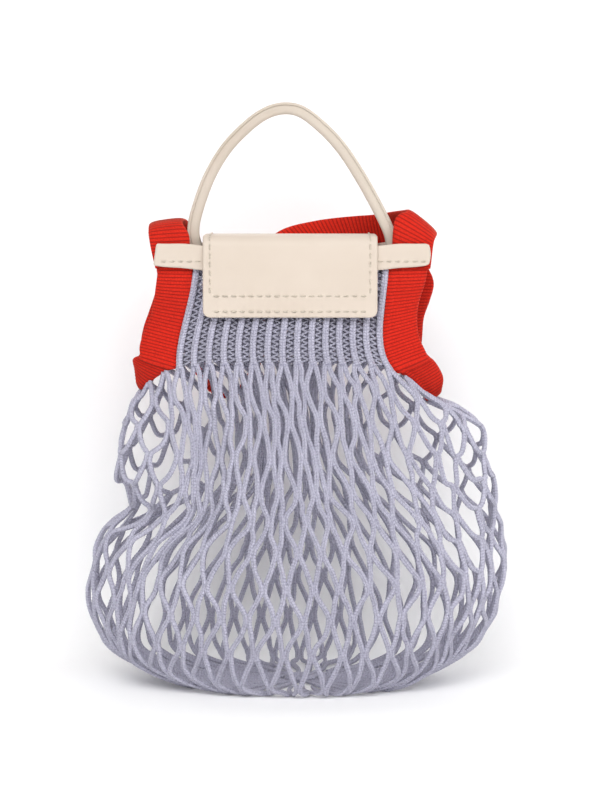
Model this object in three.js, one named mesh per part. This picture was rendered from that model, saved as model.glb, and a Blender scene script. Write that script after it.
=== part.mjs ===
// A small knitted mesh handbag with a leather flap, in millimetres.
// +X is the bag's own right as its front is seen, +Y is the back and +Z is up.
// The bag stands on its flat bottom, and the origin is at the bottom centre of its box.
import * as THREE from "three";

// Where the middle of the whole bag lies in the sizes below
const MIDDLE_X = -2.03;
const MIDDLE_Y = 0.2;

// The cotton net
const COLUMNS = 40; // meshes round the bag
const LAST_ROW = 12; // the row where the bottom closes
const CORD = 2.3; // thickness of a cord
const CROSSING_HALF_HEIGHT = 3.2; // half the length over which two cords run side by side
const WIDEST_CROSSING = 0.38; // half width, as a share of the space between columns
const TALLEST_CROSSING = 0.3; // half height, as a share of the space between rows
const SPREAD = 5; // how suddenly the columns spread at the sides
const LAST_OPEN_ROW = 10;
const SMALLEST_OPEN_MESH = 4.6; // narrower meshes are closed

// The ribbed top of the net, in front and at the back
const RIBS_EACH_SIDE = 7; // ribs left and right of the middle one
const RIB_PITCH = 6.57;
const RIB_HALF_WIDTH = 1.7;
const RIB_RISE = 0.5;
const YOKE_TOP = 215;
const YOKE_STEPS = 5;
const NECK_X = -4.3; // the middle of the neck
const NECK_Y = 13; // from the middle of the mouth to each wall
const YOKE_LEAVING = 0.3; // how far the ribs run on as the net does, as a share of their length
const YOKE_HANGING = 0.4; // how far they hang straight from the mouth
const EDGE_RIB = 7.3; // where the net's edge lies, counted in ribs from the middle

// The red knitted band
const BAND_THICKNESS = 1.8;
const BAND_GAP = 0.9; // from the edge of the net to the band
const BAND_END_SHARE = 0.95; // how far up the ribbed top a band ends, under the leather

// The leather
const LEATHER = 1.6;
const STRIP_Y = 15.9; // middle of the mouth strips
const STRIP_LEFT = -70;
const STRIP_RIGHT = 62.4;
const STRIP_HEIGHT = 12;
const STRIP_TOP = 219.8; // at its ends
const STRIP_DIP = 2; // how much lower its middle is
const FLAP_Y = 18; // middle of the flap's front and back
const FLAP_LEFT = -47.4;
const FLAP_RIGHT = 37.4;
const FLAP_TOP = 223;
const FLAP_FRONT_HEM = 184;
const FLAP_BACK_HEM = 203;
const FLAP_CORNER = 4;
const FLAP_CORNER_SHARES = [0, 0.06, 0.25, 0.55, 1]; // where a rounded corner is drawn
const FLAP_BEND = 5;
const FLAP_LIFT = 1; // how far its front hem stands off
const HANDLE_THICKNESS = 5.2;
const HANDLE_WIDTH = 9;
const HANDLE_Y = -6;

// How finely the curves are drawn
const NORMAL_STEP = 0.02; // in columns or rows
const BAND_LIMB_STEPS = 6;
const BAND_UNDER_STEPS = 12;
const BAND_STEPS = 30;
const STRAP_STEPS_A_LINE = 2;
const STRIP_STEPS = 10;
const BEND_STEPS = 4;
const HANDLE_STEPS = 36;

const COLOURS = {
  cotton: { color: 0xbab5cd, roughness: 0.95 },
  band: { color: 0xc82a18, roughness: 0.9 },
  leather: { color: 0xeee2d0, roughness: 0.55 },
};

// The heights of the net from its ribs down and under, one line for each row of crossings:
// at the front and at both sides, how late a row falls from the front to the sides, and how
// much higher it lies at the back than in front.
const NET_HEIGHTS = [
  { front: 162.7, leftSide: 147, rightSide: 141.5, fall: 5.5, backRise: 0.5 },
  { front: 149.2, leftSide: 138, rightSide: 135, fall: 3.5, backRise: 3.6 },
  { front: 134.9, leftSide: 128.5, rightSide: 128.5, fall: 2.5, backRise: 5.6 },
  { front: 118.4, leftSide: 116, rightSide: 116, fall: 2, backRise: 5.6 },
  { front: 102.2, leftSide: 102, rightSide: 102, fall: 2, backRise: 5.6 },
  { front: 88.4, leftSide: 89, rightSide: 89, fall: 2, backRise: 5.6 },
  { front: 73.9, leftSide: 76, rightSide: 76, fall: 2, backRise: 5.6 },
  { front: 56.7, leftSide: 61, rightSide: 61, fall: 2, backRise: 5 },
  { front: 41.1, leftSide: 45.5, rightSide: 45.5, fall: 2, backRise: 3 },
  { front: 23, leftSide: 30, rightSide: 30, fall: 2, backRise: 1 },
  { front: 5, leftSide: 15, rightSide: 15, fall: 2, backRise: 0 },
  { front: 1.15, leftSide: 1.15, rightSide: 1.15, fall: 2, backRise: 0 },
  { front: 1.15, leftSide: 1.15, rightSide: 1.15, fall: 2, backRise: 0 },
];

// How far the same rows reach to the left, right, front and back of the bag's middle, and how
// much the meshes are drawn together in the middle of the front and gathered at the back
const NET_REACH = [
  { left: 70, right: 71, fore: 22, aft: 22, mid: -8.5, drawn: 0.35, gathered: 0.35 },
  { left: 78, right: 87, fore: 29, aft: 28, mid: -7, drawn: 0.45, gathered: 0.5 },
  { left: 82, right: 95.5, fore: 36, aft: 35, mid: -5.5, drawn: 0.475, gathered: 0.56 },
  { left: 87, right: 97.5, fore: 43, aft: 42, mid: -4, drawn: 0.47, gathered: 0.58 },
  { left: 87.8, right: 101.3, fore: 48, aft: 47, mid: -3, drawn: 0.425, gathered: 0.55 },
  { left: 86, right: 102.5, fore: 52, aft: 51, mid: -2, drawn: 0.345, gathered: 0.48 },
  { left: 97.3, right: 103.6, fore: 55, aft: 54, mid: -1, drawn: 0.27, gathered: 0.4 },
  { left: 103.2, right: 104, fore: 56, aft: 55, mid: 0, drawn: 0.19, gathered: 0.3 },
  { left: 105.1, right: 101.3, fore: 55, aft: 54, mid: 0, drawn: 0.195, gathered: 0.22 },
  { left: 102.8, right: 94.4, fore: 50, aft: 49, mid: 0, drawn: 0.14, gathered: 0.14 },
  { left: 89.5, right: 79, fore: 42, aft: 41, mid: 0, drawn: 0, gathered: 0 },
  { left: 60, right: 52, fore: 33, aft: 32, mid: 0, drawn: 0, gathered: 0 },
  { left: 36, right: 33, fore: 20, aft: 19, mid: 0, drawn: 0, gathered: 0 },
];

// Soft creases in the net: the column and the row at their middle, their slant in columns
// a row, their reach in columns and rows, and how deep they go.
const CREASES = [
  { column: -5.6, row: 4, slant: 0.1, columns: 1.1, rows: 3, depth: 7 },
  { column: -6.6, row: 7.2, slant: -0.6, columns: 1, rows: 2, depth: 6 },
  { column: -10.5, row: 4.6, slant: 0, columns: 3, rows: 0.8, depth: 6 },
  { column: 6.8, row: 3.6, slant: 0.35, columns: 1.1, rows: 2.6, depth: 6 },
  { column: 9.4, row: 6.2, slant: 0.2, columns: 1.2, rows: 2.4, depth: 4 },
  { column: 14.5, row: 4.2, slant: 0.25, columns: 1.2, rows: 2.6, depth: 5 },
  { column: 20, row: 5.4, slant: -0.2, columns: 1.4, rows: 2.4, depth: 3.5 },
  { column: 25.6, row: 4.4, slant: -0.2, columns: 1.2, rows: 2.8, depth: 5 },
];

// The width of each armhole's band, in even steps from its front end round the armhole to
// its back end: how far it reaches out, to the back and up, and how far it bows outwards.
const LEFT_BAND = [
  { out: 17.5, back: 1, up: 0, bow: 0 },
  { out: 17.4, back: 1.2, up: 0.5, bow: 0 },
  { out: 16.6, back: 1.4, up: 2, bow: 0 },
  { out: 16, back: 1.8, up: 3.5, bow: 0 },
  { out: 16.6, back: 2.4, up: 4.8, bow: 0.2 },
  { out: 18.4, back: 3.4, up: 5.8, bow: 0.9 },
  { out: 15.4, back: 4, up: 7.2, bow: 0.9 },
  { out: 7.4, back: 4, up: 6.6, bow: 1 },
  { out: 2.4, back: 0, up: 5.4, bow: 1 },
  { out: 7.2, back: -4, up: 6.2, bow: 1 },
  { out: 14.8, back: -4, up: 6.6, bow: 0.9 },
  { out: 17.2, back: -3, up: 5, bow: 0.8 },
  { out: 16, back: -2.2, up: 4, bow: 0.2 },
  { out: 15.6, back: -1.6, up: 3, bow: 0 },
  { out: 16.2, back: -1.2, up: 1.6, bow: 0 },
  { out: 17, back: -1, up: 0.4, bow: 0 },
  { out: 17.2, back: -1, up: 0, bow: 0 },
];
const RIGHT_BAND = [
  { out: 19.2, back: 1, up: 0, bow: 0 },
  { out: 18.7, back: 1, up: 0.8, bow: 0 },
  { out: 17.6, back: 1.4, up: 2.2, bow: 0 },
  { out: 17.2, back: 2, up: 4.2, bow: 0.1 },
  { out: 17.4, back: 2.4, up: 5.6, bow: 0.4 },
  { out: 18.2, back: 3, up: 7, bow: 1 },
  { out: 14.6, back: 3.4, up: 8, bow: 1.6 },
  { out: 12, back: 2.6, up: 6.4, bow: 1.8 },
  { out: 7.4, back: 0, up: 5.6, bow: 1.8 },
  { out: 11.4, back: -2, up: 6.6, bow: 1.8 },
  { out: 13.6, back: 1, up: 7, bow: 1.8 },
  { out: 15.2, back: 3, up: 6, bow: 2 },
  { out: 16.6, back: 3.4, up: 3.8, bow: 2 },
  { out: 17.6, back: 2, up: 1.8, bow: 1.6 },
  { out: 18.2, back: -1, up: 0.2, bow: 3.4 },
  { out: 18, back: -2, up: -0.6, bow: 5 },
  { out: 17.6, back: -1, up: 0, bow: 0 },
];

// The shoulder strap's two edges, a and b, from the left tab over the top, down behind
// the ribbed top, round its loop and up again to its fold over the right tab.
const STRAP = [
  { ax: -74.2, ay: -10.6, az: 213.6, bx: -55.4, by: -11.6, bz: 212.9 },
  { ax: -73.6, ay: -12.6, az: 221.5, bx: -54, by: -12.6, bz: 222.5 },
  { ax: -74.4, ay: -8.5, az: 226.6, bx: -57, by: -8.5, bz: 229 },
  { ax: -74.6, ay: 2, az: 228, bx: -56.8, by: 2, bz: 230.4 },
  { ax: -74.2, ay: 14, az: 226, bx: -55, by: 14, bz: 228 },
  { ax: -73.5, ay: 21, az: 217, bx: -54.2, by: 21, bz: 219 },
  { ax: -71.3, ay: 23.5, az: 200, bx: -51.8, by: 23.5, bz: 201 },
  { ax: -67.5, ay: 26, az: 183, bx: -49.5, by: 30.5, bz: 184 },
  { ax: -61, ay: 31, az: 167, bx: -48, by: 44.5, bz: 168 },
  { ax: -53.5, ay: 36, az: 152, bx: -49.5, by: 54.5, bz: 152 },
  { ax: -46, ay: 38, az: 143, bx: -46, by: 57, bz: 143 },
  { ax: -38, ay: 38.5, az: 139.5, bx: -38, by: 57.5, bz: 139.5 },
  { ax: -30, ay: 38, az: 143, bx: -30, by: 57, bz: 143 },
  { ax: -23, ay: 36.5, az: 153, bx: -26, by: 55, bz: 153 },
  { ax: -15.5, ay: 31, az: 168, bx: -26, by: 46.5, bz: 168 },
  { ax: -8, ay: 26, az: 184, bx: -25.5, by: 29.5, bz: 187 },
  { ax: -2, ay: 22.3, az: 199, bx: -20, by: 22.5, bz: 207 },
  { ax: 6.5, ay: 21.3, az: 208.5, bx: -8, by: 21.3, bz: 223 },
  { ax: 20, ay: 21.3, az: 212, bx: 12, by: 21.3, bz: 230 },
  { ax: 40, ay: 21.3, az: 213.5, bx: 36, by: 19.5, bz: 232.7 },
  { ax: 58, ay: 19.3, az: 221, bx: 44.8, by: 6.5, bz: 234.6 },
  { ax: 65.5, ay: 8, az: 222, bx: 50, by: -3, bz: 235.6 },
  { ax: 66.8, ay: -5, az: 223.5, bx: 51.5, by: -9, bz: 235.4 },
  { ax: 65, ay: -13, az: 219.5, bx: 45.5, by: -13, bz: 230.5 },
  { ax: 63.2, ay: -12.2, az: 213, bx: 44.5, by: -12.9, bz: 213.4 },
];

// The handle's middle line, seen from the front, from its left end to its right end
const HANDLE = [
  { x: -44.5, z: 207.5 },
  { x: -48.2, z: 211.5 },
  { x: -50.6, z: 217 },
  { x: -52.4, z: 225 },
  { x: -50.7, z: 235 },
  { x: -44.8, z: 251.3 },
  { x: -36.6, z: 265.2 },
  { x: -26.8, z: 275.6 },
  { x: -17.8, z: 282.3 },
  { x: -9, z: 285.1 },
  { x: 0, z: 283.8 },
  { x: 9.8, z: 276.7 },
  { x: 19.8, z: 266.2 },
  { x: 29.7, z: 251.3 },
  { x: 38.3, z: 235.8 },
  { x: 43.4, z: 225 },
  { x: 45.2, z: 216 },
  { x: 44.2, z: 207 },
];

// A smooth curve through evenly spaced values
function smooth(values, at) {
  const last = values.length - 1;
  const place = Math.min(Math.max(at, 0), last);
  const i = Math.min(Math.floor(place), last - 1);
  const t = place - i;
  const before = values[Math.max(i - 1, 0)];
  const from = values[i];
  const to = values[i + 1];
  const after = values[Math.min(i + 2, last)];
  const start = (to - before) / 2;
  const end = (after - from) / 2;
  const rise = to - from;
  return from + t * (start + t * (3 * rise - 2 * start - end + t * (start + end - 2 * rise)));
}

// A value from a table with one line for each step
function tableValue(table, name, at) {
  return smooth(table.map((line) => line[name]), at);
}

// The shortest way round from one column to another
function columnsBetween(column, other) {
  const apart = (((column - other) % COLUMNS) + COLUMNS) % COLUMNS;
  return apart > COLUMNS / 2 ? apart - COLUMNS : apart;
}

function creaseDepth(column, row) {
  let depth = 0;
  for (const crease of CREASES) {
    const down = row - crease.row;
    const across = columnsBetween(column, crease.column + crease.slant * down);
    depth += crease.depth * Math.exp(-((across / crease.columns) ** 2) - (down / crease.rows) ** 2);
  }
  return depth;
}

// The way a column faces, with 0 at the front. The columns are drawn together in the middle
// of the front and of the back, and spread at the sides.
function columnAngle(column, row) {
  const quarter = COLUMNS / 4;
  const fromFront = columnsBetween(column, 0);
  const side = Math.sign(fromFront);
  const inFront = Math.abs(fromFront) <= quarter;
  const x = (inFront ? Math.abs(fromFront) : 2 * quarter - Math.abs(fromFront)) / quarter;
  const drawn = tableValue(NET_REACH, inFront ? "drawn" : "gathered", row);
  const angle = (Math.PI / 2) * ((1 - drawn) * x + drawn * x ** SPREAD);
  return side * (inFront ? angle : Math.PI - angle);
}

// A point in the middle of the net's thickness, at a column and row that may lie between
// two crossings. Column 0 is in the middle of the front.
function netPoint(column, row) {
  const angle = columnAngle(column, row);
  const across = Math.sin(angle);
  const ahead = Math.cos(angle);
  const reach = tableValue(NET_REACH, across < 0 ? "left" : "right", row);
  const depth = tableValue(NET_REACH, ahead > 0 ? "fore" : "aft", row);
  const outwards = new THREE.Vector3(across * depth, -ahead * reach, 0).normalize();
  const front = tableValue(NET_HEIGHTS, "front", row);
  const side = tableValue(NET_HEIGHTS, across < 0 ? "leftSide" : "rightSide", row);
  const share = Math.abs(across) ** tableValue(NET_HEIGHTS, "fall", row);
  const rise = tableValue(NET_HEIGHTS, "backRise", row) * Math.min(ahead, 0) ** 2;
  const height = THREE.MathUtils.lerp(front, side, share) + rise;
  const middle = tableValue(NET_REACH, "mid", row);
  const point = new THREE.Vector3(middle + across * reach, -ahead * depth, height);
  return point.addScaledVector(outwards, -creaseDepth(column, row));
}

// A point of the ribbed top, from share 0 where the ribs end to share 1 at the mouth.
// Its column counts from the middle rib, and face is -1 in front and 1 at the back.
function yokePoint(rib, face, share) {
  const column = face < 0 ? rib : COLUMNS / 2 - rib;
  const foot = netPoint(column, 0);
  const below = netPoint(column, YOKE_LEAVING);
  const head = new THREE.Vector3(NECK_X + RIB_PITCH * rib, face * NECK_Y, YOKE_TOP);
  const length = head.distanceTo(foot);
  const leaving = foot.clone().sub(below).normalize().multiplyScalar(length * YOKE_LEAVING);
  const hanging = head.clone().add(new THREE.Vector3(0, 0, -YOKE_HANGING * length));
  return new THREE.CubicBezierCurve3(foot, foot.clone().add(leaving), hanging, head).getPoint(share);
}

// A unit normal of a surface given by a function of two values
function normalOf(surface, first, second) {
  const step = NORMAL_STEP;
  const across = surface(first + step, second).sub(surface(first - step, second));
  const down = surface(first, second + step).sub(surface(first, second - step));
  return across.cross(down).normalize().negate();
}

// Collects the triangles of one closed solid. Each corner is a pair of points, one on the
// outer face and one on the inner face.
class Shell {
  constructor() {
    this.positions = [];
    this.triangles = [];
  }

  corner(middle, outwards, outer, inner) {
    for (const offset of [outer, -inner]) {
      const point = middle.clone().addScaledVector(outwards, offset);
      this.positions.push(point.x, point.y, Math.max(point.z, 0));
    }
    return this.positions.length / 6 - 1;
  }

  // A polygon of corners, seen from outside anticlockwise, on both faces
  panel(...corners) {
    for (let i = 1; i < corners.length - 1; i += 1) {
      this.triangles.push(2 * corners[0], 2 * corners[i], 2 * corners[i + 1]);
      this.triangles.push(2 * corners[0] + 1, 2 * corners[i + 1] + 1, 2 * corners[i] + 1);
    }
  }

  // The wall along an edge of the cloth, with the cloth on the left of the way from a to b
  wall(a, b) {
    this.triangles.push(2 * a, 2 * a + 1, 2 * b, 2 * b, 2 * a + 1, 2 * b + 1);
  }

  geometry() {
    const made = new THREE.BufferGeometry();
    made.setAttribute("position", new THREE.Float32BufferAttribute(this.positions, 3));
    made.setIndex(this.triangles);
    made.computeVertexNormals();
    return made;
  }
}

function netGeometry() {
  const shell = new Shell();
  const half = CORD / 2;
  const at = (column, row) =>
    shell.corner(netPoint(column, row), normalOf(netPoint, column, row), half, half);

  // The corners of every crossing: left, right, top and bottom
  const crossings = [];
  const valleys = []; // between the crossings of the first row
  for (let row = 0; row <= LAST_ROW; row += 1) {
    const line = [];
    for (let i = 0; i < COLUMNS; i += 1) {
      const column = i + (row % 2) / 2;
      const pitch = netPoint(column, row).distanceTo(netPoint(column + 1, row));
      const drop = netPoint(column, Math.max(row, 1)).distanceTo(netPoint(column, Math.max(row, 1) - 1));
      const wide = Math.min((row === 0 ? RIB_HALF_WIDTH : CORD) / pitch, WIDEST_CROSSING);
      const high = Math.min(CROSSING_HALF_HEIGHT / drop, TALLEST_CROSSING);
      line.push({
        left: at(column - wide, row),
        right: at(column + wide, row),
        top: row > 0 ? at(column, row - high) : null,
        bottom: row < LAST_ROW ? at(column, row + high) : null,
      });
      if (row === 0) valleys.push(at(column + 0.5, row));
    }
    crossings.push(line);
  }
  const crossing = (i, row) => crossings[row][((i % COLUMNS) + COLUMNS) % COLUMNS];
  const isOpen = (i, row) => {
    const column = i + (row % 2) / 2;
    const across = netPoint(column, row).distanceTo(netPoint(column + 1, row)) - 2 * CORD;
    return row > 0 && row <= LAST_OPEN_ROW && across > SMALLEST_OPEN_MESH;
  };

  for (let row = 0; row <= LAST_ROW; row += 1) {
    for (let i = 0; i < COLUMNS; i += 1) {
      const here = crossing(i, row);
      const next = crossing(i + 1, row);
      const ring = [here.top, here.left, here.bottom, here.right].filter((x) => x !== null);
      shell.panel(...ring);
      if (row < LAST_ROW) {
        const lowerLeft = crossing(i - 1 + (row % 2), row + 1);
        const lowerRight = crossing(i + (row % 2), row + 1);
        shell.panel(here.left, lowerLeft.top, lowerLeft.right, here.bottom);
        shell.panel(here.bottom, lowerRight.left, lowerRight.top, here.right);
      }
      // The mesh between this crossing and the next one
      const above = row > 0 ? crossing(i + (row % 2), row - 1).bottom : valleys[i];
      const below = row < LAST_ROW ? crossing(i + (row % 2), row + 1).top : null;
      const edge = [above, here.right, below, next.left].filter((x) => x !== null);
      if (!isOpen(i, row)) {
        shell.panel(...edge);
      } else {
        edge.forEach((corner, k) => shell.wall(edge[(k + 1) % edge.length], corner));
      }
    }
  }

  // The bottom's middle
  const middle = shell.corner(new THREE.Vector3(0, 0, half), new THREE.Vector3(0, 0, -1), half, half);
  for (let i = 0; i < COLUMNS; i += 1) {
    const here = crossing(i, LAST_ROW);
    shell.panel(middle, here.right, here.left);
    shell.panel(middle, crossing(i + 1, LAST_ROW).left, here.right);
  }

  // The ribbed top, with the first row of crossings as its lowest line
  const edgeOfNet = new Map();
  for (let i = 0; i < COLUMNS; i += 1) {
    const here = crossing(i, 0);
    edgeOfNet.set(here.left, here.right);
    edgeOfNet.set(here.right, valleys[i]);
    edgeOfNet.set(valleys[i], crossing(i + 1, 0).left);
  }
  for (const face of [-1, 1]) {
    const first = face < 0 ? -RIBS_EACH_SIDE : COLUMNS / 2 - RIBS_EACH_SIDE;
    const count = 2 * RIBS_EACH_SIDE + 1;
    let lower = [];
    for (let k = 0; k < count; k += 1) {
      const index = (((first + k) % COLUMNS) + COLUMNS) % COLUMNS;
      lower.push(crossing(index, 0).left, crossing(index, 0).right);
      if (k < count - 1) lower.push(valleys[index]);
    }
    lower.slice(0, -1).forEach((corner) => edgeOfNet.delete(corner));
    for (let step = 1; step <= YOKE_STEPS; step += 1) {
      const share = step / YOKE_STEPS;
      const upper = [];
      for (let k = 0; k < count; k += 1) {
        const rib = face < 0 ? k - RIBS_EACH_SIDE : RIBS_EACH_SIDE - k;
        const wide = RIB_HALF_WIDTH / RIB_PITCH;
        const places = [
          { at: rib + face * wide, rise: RIB_RISE },
          { at: rib - face * wide, rise: RIB_RISE },
          { at: rib - face * 0.5, rise: -RIB_RISE },
        ];
        for (const place of k < count - 1 ? places : places.slice(0, 2)) {
          const surface = (across, up) => yokePoint(across, face, up);
          const outwards = normalOf(surface, place.at, Math.min(share, 1 - NORMAL_STEP));
          outwards.multiplyScalar(Math.sign(outwards.y) === face ? 1 : -1);
          upper.push(shell.corner(surface(place.at, share), outwards, half + place.rise, half));
        }
      }
      for (let k = 0; k < upper.length - 1; k += 1) {
        shell.panel(lower[k], lower[k + 1], upper[k + 1], upper[k]);
        if (step === YOKE_STEPS) shell.wall(upper[k + 1], upper[k]);
      }
      shell.wall(upper[0], lower[0]);
      shell.wall(lower.at(-1), upper.at(-1));
      lower = upper;
    }
  }
  edgeOfNet.forEach((next, corner) => shell.wall(next, corner));
  return shell.geometry();
}

// A flat strip between two edges, given as pairs of points a and b along it
function stripGeometry(pairs, thickness) {
  const shell = new Shell();
  const rows = pairs.map(({ a, b }, i) => {
    const before = pairs[Math.max(i - 1, 0)];
    const after = pairs[Math.min(i + 1, pairs.length - 1)];
    const width = b.clone().sub(a);
    const normalAt = (from, to) => to.clone().sub(from).cross(width).normalize();
    const half = thickness / 2;
    return [
      shell.corner(a, normalAt(before.a, after.a), half, half),
      shell.corner(b, normalAt(before.b, after.b), half, half),
    ];
  });
  for (let i = 1; i < rows.length; i += 1) {
    const [a, b] = rows[i - 1];
    const [c, d] = rows[i];
    shell.panel(a, c, d, b);
    shell.wall(a, c);
    shell.wall(d, b);
  }
  shell.wall(rows[0][1], rows[0][0]);
  shell.wall(rows.at(-1)[0], rows.at(-1)[1]);
  return shell.geometry();
}

// The edge of the net round one armhole, from the front of the mouth to its back
function armholeEdge(side) {
  const points = [];
  const rib = side * EDGE_RIB;
  const limb = (face, share) => yokePoint(rib, face, BAND_END_SHARE * share);
  for (let i = 0; i < BAND_LIMB_STEPS; i += 1) points.push(limb(-1, 1 - i / BAND_LIMB_STEPS));
  for (let i = 0; i <= BAND_UNDER_STEPS; i += 1) {
    const column = THREE.MathUtils.lerp(EDGE_RIB, COLUMNS / 2 - EDGE_RIB, i / BAND_UNDER_STEPS);
    points.push(netPoint(side * column, 0));
  }
  for (let i = 1; i <= BAND_LIMB_STEPS; i += 1) points.push(limb(1, i / BAND_LIMB_STEPS));
  return points;
}

function bandGeometry(side, table) {
  const edge = new THREE.CatmullRomCurve3(armholeEdge(side));
  const pairs = [];
  for (let i = 0; i <= BAND_STEPS; i += 1) {
    const share = i / BAND_STEPS;
    const value = (name) => tableValue(table, name, share * (table.length - 1));
    const width = new THREE.Vector3(side * value("out"), value("back"), value("up"));
    const apart = width.clone().setLength(BAND_GAP + value("bow"));
    const start = edge.getPointAt(share).add(apart);
    const end = start.clone().add(width);
    pairs.push(side < 0 ? { a: start, b: end } : { a: end, b: start });
  }
  return stripGeometry(pairs, BAND_THICKNESS);
}

function strapGeometry() {
  const edgeCurve = (name) =>
    new THREE.CatmullRomCurve3(
      STRAP.map((p) => new THREE.Vector3(p[`${name}x`], p[`${name}y`], p[`${name}z`])),
    );
  const [first, second] = ["a", "b"].map(edgeCurve);
  const steps = STRAP_STEPS_A_LINE * (STRAP.length - 1);
  const pairs = [];
  for (let i = 0; i <= steps; i += 1) {
    pairs.push({ a: first.getPoint(i / steps), b: second.getPoint(i / steps) });
  }
  return stripGeometry(pairs, BAND_THICKNESS);
}

// A leather strip that binds the front or back of the mouth
function mouthStripGeometry(face) {
  const pairs = [];
  for (let i = 0; i <= STRIP_STEPS; i += 1) {
    const share = i / STRIP_STEPS;
    const fromMiddle = 2 * share - 1;
    const x = THREE.MathUtils.lerp(STRIP_LEFT, STRIP_RIGHT, share);
    const top = STRIP_TOP - STRIP_DIP * (1 - fromMiddle ** 2);
    const low = new THREE.Vector3(x, face * STRIP_Y, top - STRIP_HEIGHT);
    const high = new THREE.Vector3(x, face * STRIP_Y, top);
    pairs.push(face < 0 ? { a: low, b: high } : { a: high, b: low });
  }
  return stripGeometry(pairs, LEATHER);
}

// The flap, from its hem at the back over the mouth to its hem in front
function flapGeometry() {
  const line = [];
  const hem = (y, z, share) => {
    const cut = FLAP_CORNER * (1 - Math.sqrt(1 - (1 - share) ** 2));
    line.push({ y, z: z + FLAP_CORNER * share, inset: cut });
  };
  const bend = (y, from, to) => {
    for (let i = 0; i <= BEND_STEPS; i += 1) {
      const angle = THREE.MathUtils.lerp(from, to, i / BEND_STEPS);
      const z = FLAP_TOP - FLAP_BEND * (1 - Math.sin(angle));
      line.push({ y: y + FLAP_BEND * Math.cos(angle), z, inset: 0 });
    }
  };
  for (const share of FLAP_CORNER_SHARES) hem(FLAP_Y, FLAP_BACK_HEM, share);
  bend(FLAP_Y - FLAP_BEND, 0, Math.PI / 2);
  bend(FLAP_BEND - FLAP_Y, Math.PI / 2, Math.PI);
  line.push({ y: -FLAP_Y - FLAP_LIFT / 2, z: (FLAP_TOP + FLAP_FRONT_HEM) / 2, inset: 0 });
  for (const share of [...FLAP_CORNER_SHARES].reverse()) hem(-FLAP_Y - FLAP_LIFT, FLAP_FRONT_HEM, share);
  const pairs = line.map(({ y, z, inset }) => ({
    a: new THREE.Vector3(FLAP_LEFT + inset, y, z),
    b: new THREE.Vector3(FLAP_RIGHT - inset, y, z),
  }));
  return stripGeometry(pairs, LEATHER);
}

function handleGeometry() {
  const line = new THREE.CatmullRomCurve3(HANDLE.map((p) => new THREE.Vector3(p.x, HANDLE_Y, p.z)));
  const pairs = [];
  for (let i = 0; i <= HANDLE_STEPS; i += 1) {
    const middle = line.getPointAt(i / HANDLE_STEPS);
    const half = new THREE.Vector3(0, HANDLE_WIDTH / 2, 0);
    pairs.push({ a: middle.clone().sub(half), b: middle.clone().add(half) });
  }
  return stripGeometry(pairs, HANDLE_THICKNESS);
}

function piece(name, geometry, finish) {
  const mesh = new THREE.Mesh(geometry, new THREE.MeshStandardMaterial(COLOURS[finish]));
  mesh.name = name;
  return mesh;
}

const bag = new THREE.Group();
bag.add(
  piece("net", netGeometry(), "cotton"),
  piece("band_left", bandGeometry(-1, LEFT_BAND), "band"),
  piece("band_right", bandGeometry(1, RIGHT_BAND), "band"),
  piece("shoulder_strap", strapGeometry(), "band"),
  piece("mouth_strip_front", mouthStripGeometry(-1), "leather"),
  piece("mouth_strip_back", mouthStripGeometry(1), "leather"),
  piece("flap", flapGeometry(), "leather"),
  piece("handle", handleGeometry(), "leather"),
);
bag.position.set(-MIDDLE_X, -MIDDLE_Y, 0);

export default bag;
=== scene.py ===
# %% [markdown]
# # A knitted mesh handbag
# The bag is an open net of lilac cotton cord with a ribbed top, two red knitted bands round its
# armholes, a red knitted strap, and cream leather for the mouth strips, the flap and the handle.
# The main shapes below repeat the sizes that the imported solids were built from, and each piece gets
# its real surface here. Sizes are in millimetres unless a name ends in _m or _M, and become metres
# as a mesh is made.

# %% The solids that everything is fitted to
import math

import bpy
import numpy as np
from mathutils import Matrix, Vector


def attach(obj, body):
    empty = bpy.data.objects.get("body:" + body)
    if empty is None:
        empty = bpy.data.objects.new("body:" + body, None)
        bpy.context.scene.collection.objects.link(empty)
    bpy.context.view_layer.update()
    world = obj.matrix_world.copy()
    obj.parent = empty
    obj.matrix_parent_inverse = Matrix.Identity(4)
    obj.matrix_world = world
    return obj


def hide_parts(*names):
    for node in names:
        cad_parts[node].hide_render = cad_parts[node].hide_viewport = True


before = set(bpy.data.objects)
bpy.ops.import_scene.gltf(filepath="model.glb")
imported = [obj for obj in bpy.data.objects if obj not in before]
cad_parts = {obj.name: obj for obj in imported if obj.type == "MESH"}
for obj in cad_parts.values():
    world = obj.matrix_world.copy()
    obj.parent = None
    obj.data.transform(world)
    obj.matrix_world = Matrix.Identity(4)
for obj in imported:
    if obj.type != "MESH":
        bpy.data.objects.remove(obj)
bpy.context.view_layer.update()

# %% [markdown]
# ## The camera
# The photo was taken from a little over the bag's middle, from the front, with a long lens, so
# the bag shows no strong perspective. The scale at the bag is half a millimetre a pixel.

# %% The camera
PHOTO_WIDTH = 600
MM_A_PIXEL = 0.5
CAMERA_DISTANCE = 1200
CAMERA_ANGLE = math.radians(6)
AIM = Vector((1.83, 10.3, 140.7))
SENSOR = 36

camera_data = bpy.data.cameras.new("camera")
camera_data.sensor_fit = "HORIZONTAL"
camera_data.sensor_width = SENSOR
camera_data.lens = SENSOR * CAMERA_DISTANCE / (PHOTO_WIDTH * MM_A_PIXEL)
camera = bpy.data.objects.new("camera", camera_data)
bpy.context.collection.objects.link(camera)
back = Vector((0, -math.cos(CAMERA_ANGLE), math.sin(CAMERA_ANGLE)))
camera.location = (AIM + CAMERA_DISTANCE * back) * 0.001
camera.rotation_euler = back.to_track_quat("Z", "Y").to_euler()
bpy.context.scene.camera = camera
print("lens", camera_data.lens, "mm")

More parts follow.
